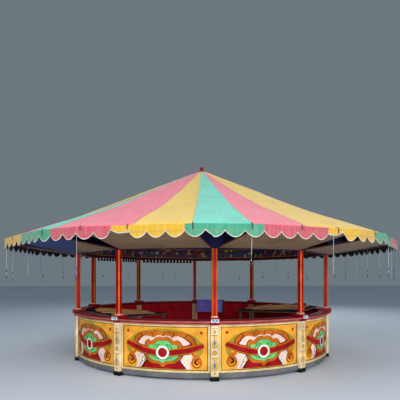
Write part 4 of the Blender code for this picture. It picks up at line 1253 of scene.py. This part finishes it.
# ---------------------------------------------------------------- header and shutters
def make_header(colours):
    """Ten mitred header boards: dark rail below, painted frieze above, inside and out."""
    dark = paint("header_dark", display(0.34, 0.05, 0.10), 0.45, 0.4)
    gold = paint("header_gold", display(0.66, 0.48, 0.16), 0.4, 0.5)
    navy = paint("header_navy", display(0.09, 0.12, 0.30), 0.6, 0.3)
    band = frieze("header_frieze")
    inner = BAY_APOTHEM - HEADER_THICKNESS / 2
    low, high = HEADER_LOW.z, HEADER_HIGH.z
    rail = low + 0.062
    bm = bmesh.new()
    for number in numbers():
        before = set(bm.faces)
        parts = [
            (inner + 0.006, HEADER_FACE - 0.003, low + 0.004, high - 0.004, 1, 0.001),
            (inner, HEADER_FACE - 0.001, low, rail, 0, 0.005),
            (inner, inner + 0.007, high - 0.022, high, 2, 0.004),
            (inner + 0.001, inner + 0.008, rail + 0.001, rail + 0.014, 2, 0.004),
            (HEADER_FACE - 0.004, HEADER_FACE - 0.0003, low + 0.001, high - 0.001, 3, 0.001),
            (HEADER_FACE - 0.005, HEADER_FACE, high - 0.030, high, 0, 0.003),
        ]
        for near, far, down, up, index, round_off in parts:
            mitre(add_box(bm, (-1, near, down), (1, far, up), index, round_off, 2), 0.0004)
        layer = bm.loops.layers.uv.verify()
        for face in [face for face in bm.faces if face not in before]:
            for loop in face.loops:
                loop[layer].uv = (loop.vert.co.x + number * 3.7, loop.vert.co.z - rail)
        turn_new(bm, before, bay_angle(number))
    new_piece(bm, "header_boards", [dark, band, gold, navy], nodes=("header_ring",))
    # Teeth inside bays 6 and 7, below the header. The black is painted shade, standing for the inner side of
    # the valance across the stall seen in shade. The white squares stand for its white hem.
    bm = bmesh.new()
    pitch = 0.089
    teeth = int(2 * (BAY_HALF_CHORD - 0.055) / pitch)
    for number in (6, 7):
        before = set(bm.faces)
        for tooth in range(teeth):
            across = (tooth - (teeth - 1) / 2) * pitch
            add_box(bm, (across - 0.030, inner - 0.006, low - 0.060),
                    (across + 0.030, inner + 0.001, low + 0.012), 0, 0.001, 1)
            add_box(bm, (across + 0.030, inner - 0.004, low - 0.028),
                    (across + 0.059, inner + 0.001, low + 0.012), 1, 0.001, 1)
        turn_new(bm, before, bay_angle(number))
    new_piece(bm, "valance_shade_teeth", [paint("teeth_painted_shade", display(0.07, 0.06, 0.07), 0.6, 0.2),
                                    paint("fringe_white", display(0.92, 0.91, 0.88), 0.6, 0.2)])


def make_shutters(colours):
    """Ten lift-up shutters: boarded inside, red outside, with strap hinges."""
    red = paint("shutter_red", tuple(colours.shutter_red), 0.22, 0.35, (0.25, 0.02, 0.02))
    edge_red = paint("shutter_edge", display(0.36, 0.03, 0.05), 0.35, 0.5)
    side = paint("shutter_side", display(0.34, 0.25, 0.20), 0.55, 0.4)
    black = iron("strap_iron", (0.04, 0.04, 0.045))
    brown = boards("shutter_boards", tuple(colours.board_brown), "X")
    oxide = boards("shutter_boards_oxide", display(0.40, 0.12, 0.12), "X")
    navy = paint("shutter_navy", display(0.16, 0.22, 0.46), 0.5, 0.3)
    half = SHUTTER_WIDTH / 2
    strips = 7
    pitch = (SHUTTER_LENGTH - 0.010) / strips
    for number in numbers():
        bm = bmesh.new()
        add_box(bm, (-half, 0.0125, 0.003), (half, SHUTTER_LENGTH, 0.0105), 0, 0.0015, 2)
        add_box(bm, (-half, SHUTTER_LENGTH - 0.085, 0.0100), (half, SHUTTER_LENGTH, 0.0118), 1, 0.0008, 1)
        for strip in range(strips):
            start = 0.0125 + strip * pitch
            add_box(bm, (-half + 0.001, start, -0.0075), (half - 0.001, start + pitch - 0.0022, 0.0028), 2,
                    0.0018, 2)
        for middle in (-half + 0.035, 0.0, half - 0.035):
            add_box(bm, (middle - 0.032, 0.020, -0.0112),
                    (middle + 0.032, SHUTTER_LENGTH - 0.012, -0.0070), 2, 0.0014, 2)
        for across in STRAPS:
            add_box(bm, (across - 0.020, 0.004, 0.0100), (across + 0.020, 0.300, 0.0125), 3, 0.0008, 1)
            cylinder = bmesh.ops.create_cone(bm, cap_ends=True, segments=20, radius1=0.0105, radius2=0.0105,
                                             depth=0.070, matrix=Matrix.Translation((across, 0, 0))
                                             @ Matrix.Rotation(pi / 2, 4, "Y"))
            tint(cylinder["verts"], 3)
            for out in (0.06, 0.14, 0.22, 0.28):
                stud = bmesh.ops.create_uvsphere(bm, u_segments=10, v_segments=6, radius=0.006,
                                                 matrix=Matrix.Translation((across, out, 0.0122))
                                                 @ Matrix.Diagonal((1, 1, 0.45, 1)))
                tint(stud["verts"], 3)
        if number == 9:
            patch = [bm.verts.new((x, y, -0.0114)) for x, y in ((half - 0.01, 0.03), (half - 0.01, 1.12),
                                                                (0.01 - half, 1.12), (0.01 - half, 0.62))]
            sheet = bmesh.ops.extrude_face_region(bm, geom=[bm.faces.new(patch)])["geom"]
            rim = [item for item in sheet if isinstance(item, bmesh.types.BMVert)]
            bmesh.ops.translate(bm, verts=rim, vec=(0, 0, -0.003))
            tint(rim + patch, 5)
        bm.normal_update()
        for face in bm.faces:
            place = face.calc_center_median()
            if abs(face.normal.x) > 0.7 and abs(place.x) > half - 0.01 and place.z < 0.009:
                face.material_index = 4
        map_flat(bm)
        bmesh.ops.rotate(bm, verts=bm.verts, cent=(0, 0, 0), matrix=Matrix.Rotation(SHUTTER_RISE, 3, "X"))
        bmesh.ops.translate(bm, verts=bm.verts, vec=(0, HINGE_RADIUS, HINGE_HEIGHT))
        turn_to(bm, bay_angle(number))
        inside = oxide if number == 8 else brown
        new_piece(bm, f"boarded_shutter_{number:02d}", [red, edge_red, inside, black, side, navy],
                  f"shutter_leaf_{number:02d}", (f"shutter_{number:02d}",))
    make_hinge_leaves(black)


def make_hinge_leaves(black):
    """The fixed leaves of the strap hinges, on the outer face of the header."""
    bm = bmesh.new()
    for number in numbers():
        before = set(bm.faces)
        for across in STRAPS:
            for middle in (across - 0.047, across + 0.047):
                add_box(bm, (middle - 0.010, HEADER_FACE - 0.001, HINGE_HEIGHT - 0.010),
                        (middle + 0.010, HINGE_RADIUS + 0.003, HINGE_HEIGHT + 0.010), 0, 0.003, 2)
                add_box(bm, (middle - 0.012, HEADER_FACE - 0.001, HINGE_HEIGHT - 0.008),
                        (middle + 0.012, HEADER_FACE + 0.003, HINGE_HEIGHT + 0.120), 0, 0.001, 1)
        turn_new(bm, before, bay_angle(number))
    new_piece(bm, "hinge_leaves", [black])


# ---------------------------------------------------------------- frame, crown and inside
def make_frame():
    """Rafters, hub, finial and ground sill, rounded and painted."""
    navy = paint("rafter_navy", display(0.12, 0.15, 0.25), 0.5, 0.6)
    for number in numbers():
        fine_copy(f"rafter_{number:02d}", f"roof_rafter_{number:02d}", [navy], 0.004)
    fine_copy("crown_hub", "iron_hub", [iron("hub_iron", (0.05, 0.05, 0.055))], 0.002)
    fine_copy("base_sill", "ground_sill", [paint("sill_grey", display(0.44, 0.44, 0.45), 0.6, 0.8)], 0.003)
    low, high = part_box("finial")
    flange = 0.050
    profile = [(0, low.z), (flange, low.z), (flange, low.z + 0.006), (flange * 0.7, low.z + 0.011),
               (flange * 0.45, low.z + 0.016)]
    ball = 0.040
    middle = high.z - ball
    start = -radians(50)
    turns = [start + (pi / 2 - start) * k / 9 for k in range(9)]
    profile += [(ball * cos(turn), middle + ball * sin(turn)) for turn in turns]
    profile.append((0, high.z))
    bm = spun([(radius, 0, height) for radius, height in profile], 40)
    bmesh.ops.remove_doubles(bm, verts=bm.verts, dist=0.00005)
    new_piece(bm, "turned_finial", [paint("finial_red", display(0.58, 0.05, 0.08), 0.3, 0.4)],
              nodes=("finial",), smooth=40)


def make_inside():
    """Display boards with pale battens, and the prize box with its two compartments."""
    dark = paint("display_dark", display(0.12, 0.11, 0.24), 0.9, 0.2)
    pale = paint("batten_pale", display(0.78, 0.56, 0.36), 0.7, 0.7)
    edge = paint("display_edge", display(0.50, 0.38, 0.32), 0.7, 0.4)

    for side in ("left", "right"):
        node = f"display_shelf_{side}"
        tops = [(face.normal, face.normal.dot(frame["nodes"][node].data.vertices[face.vertices[0]].co))
                for face in frame["nodes"][node].data.polygons if face.normal.z > 0.9]
        slope, plane = min(tops, key=lambda item: item[1])

        def board_paint(face):
            above = slope.dot(face.calc_center_median()) - plane
            if above > 0.001:
                return 1
            return 0 if above > -0.001 else 2

        fine_copy(node, f"display_board_{side}", [dark, pale, edge], 0.003,
                  choose=board_paint)
    paints = [paint("box_purple", display(0.56, 0.50, 0.92), 0.5, 0.3),
              paint("box_blue", display(0.20, 0.36, 0.80), 0.5, 0.3),
              paint("box_green", display(0.22, 0.36, 0.32), 0.6, 0.4),
              paint("box_brown", display(0.42, 0.24, 0.18), 0.6, 0.4)]
    turn = Matrix.Rotation(pi / 2 - bay_angle(5), 3, "Z")
    corners = [turn @ vert.co for vert in frame["nodes"]["prize_box"].data.vertices]
    low = Vector([min(corner[axis] for corner in corners) for axis in range(3)])
    high = Vector([max(corner[axis] for corner in corners) for axis in range(3)])
    divider = (low.x + high.x) / 2

    def box_paint(face):
        place = turn @ face.calc_center_median()
        inside = (low.x + 0.009 < place.x < high.x - 0.009 and low.y + 0.009 < place.y < high.y - 0.009
                  and low.z + 0.004 < place.z < high.z - 0.003)
        return (1 if inside else 0) if place.x < divider else (3 if inside else 2)

    fine_copy("prize_box", "painted_prize_box", paints, 0.002, choose=box_paint)


# ---------------------------------------------------------------- stage
def make_stage(sizes):
    """Floor, soft lights and the camera."""
    bm = bmesh.new()
    bmesh.ops.create_grid(bm, x_segments=1, y_segments=1, size=60)
    mesh = bpy.data.meshes.new("studio_floor")
    bm.to_mesh(mesh)
    bm.free()
    floor_item = linked("studio_floor", mesh)
    material, _, shader = start_material("studio_floor")
    shader.inputs["Base Color"].default_value = (0.66, 0.73, 0.82, 1)
    shader.inputs["Roughness"].default_value = 0.7
    mesh.materials.append(material)
    world = bpy.data.worlds.new("studio")
    bpy.context.scene.world = world
    world.use_nodes = True
    world.node_tree.nodes["Background"].inputs["Color"].default_value = (0.36, 0.44, 0.50, 1)
    world.node_tree.nodes["Background"].inputs["Strength"].default_value = 0.42
    lights = (("key", (-6, -9, 9), 8.0, 760), ("fill", (9, -8, 5), 8.0, 480),
              ("low", (0, -11, 1.4), 6.0, 720), ("back", (3, 10, 8), 8.0, 420))
    for name, place, size, power in lights:
        lamp = bpy.data.lights.new(name, "AREA")
        lamp.size = size
        lamp.energy = power
        holder = linked(name, lamp)
        holder.location = place
        holder.rotation_euler = (Vector((0, 0, 1.5)) - Vector(place)).to_track_quat("-Z", "Y").to_euler()
    lens = bpy.data.cameras.new("camera")
    lens.lens = 36.95
    lens.sensor_width = 36
    lens.shift_x = -0.0043
    lens.shift_y = 0.192
    lens.clip_end = 200
    camera = linked("camera", lens)
    turn = sizes.camera_turn
    away = sizes.camera_distance
    camera.location = (away * sin(turn), -away * cos(turn), sizes.camera_height)
    camera.rotation_euler = (pi / 2, 0, turn)
    bpy.context.scene.camera = camera
    bpy.context.scene.view_settings.view_transform = "Standard"


# ---------------------------------------------------------------- operators and panel
class STALL_OT_stage(bpy.types.Operator):
    """Set the floor, the lights and the camera"""
    bl_idname = "stall.stage"
    bl_label = "Stage"

    def execute(self, context):
        make_stage(context.scene.stall_sizes)
        return {"FINISHED"}


class STALL_OT_lines(bpy.types.Operator):
    """Hang the lines, hooks and canvas ties"""
    bl_idname = "stall.lines"
    bl_label = "Lines"

    def execute(self, context):
        make_lines()
        make_ties()
        return {"FINISHED"}


class STALL_OT_canvas(bpy.types.Operator):
    """Sew the canvas roof and its valance"""
    bl_idname = "stall.canvas"
    bl_label = "Canvas"

    def execute(self, context):
        make_roof(context.scene.stall_sizes, context.scene.stall_colours)
        make_valance(context.scene.stall_sizes, context.scene.stall_colours)
        return {"FINISHED"}


class STALL_OT_counter(bpy.types.Operator):
    """Make the painted panels, moulded rails and posts"""
    bl_idname = "stall.counter"
    bl_label = "Counter"

    def execute(self, context):
        make_panels(context.scene.stall_colours)
        make_rails(context.scene.stall_colours)
        make_posts(context.scene.stall_colours)
        return {"FINISHED"}


class STALL_OT_shutters(bpy.types.Operator):
    """Make the header boards and the lift-up shutters"""
    bl_idname = "stall.shutters"
    bl_label = "Shutters"

    def execute(self, context):
        make_header(context.scene.stall_colours)
        make_shutters(context.scene.stall_colours)
        return {"FINISHED"}


class STALL_OT_frame(bpy.types.Operator):
    """Finish the rafters, crown and sill"""
    bl_idname = "stall.frame"
    bl_label = "Frame"

    def execute(self, context):
        make_frame()
        return {"FINISHED"}


class STALL_OT_inside(bpy.types.Operator):
    """Finish the display boards and the prize box"""
    bl_idname = "stall.inside"
    bl_label = "Inside"

    def execute(self, context):
        make_inside()
        return {"FINISHED"}


STEPS = (STALL_OT_stage, STALL_OT_lines, STALL_OT_canvas, STALL_OT_counter, STALL_OT_shutters,
         STALL_OT_frame, STALL_OT_inside)


class STALL_PT_panel(bpy.types.Panel):
    """Lists the steps that build the stall"""
    bl_label = "Round Stall"
    bl_idname = "STALL_PT_panel"
    bl_space_type = "VIEW_3D"
    bl_region_type = "UI"
    bl_category = "Round Stall"

    def draw(self, context):
        for step in STEPS:
            self.layout.operator(step.bl_idname)


CLASSES = (StallSizes, StallColours, *STEPS, STALL_PT_panel)


def register():
    """Add the properties, operators and panel."""
    for item in CLASSES:
        bpy.utils.register_class(item)
    bpy.types.Scene.stall_sizes = bpy.props.PointerProperty(type=StallSizes)
    bpy.types.Scene.stall_colours = bpy.props.PointerProperty(type=StallColours)


def unregister():
    """Take them away again."""
    del bpy.types.Scene.stall_colours
    del bpy.types.Scene.stall_sizes
    for item in reversed(CLASSES):
        bpy.utils.unregister_class(item)


def main():
    """Build the stall."""
    register()
    for step in STEPS:
        space, name = step.bl_idname.split(".")
        getattr(getattr(bpy.ops, space), name)()


if __name__ == "__main__":
    main()
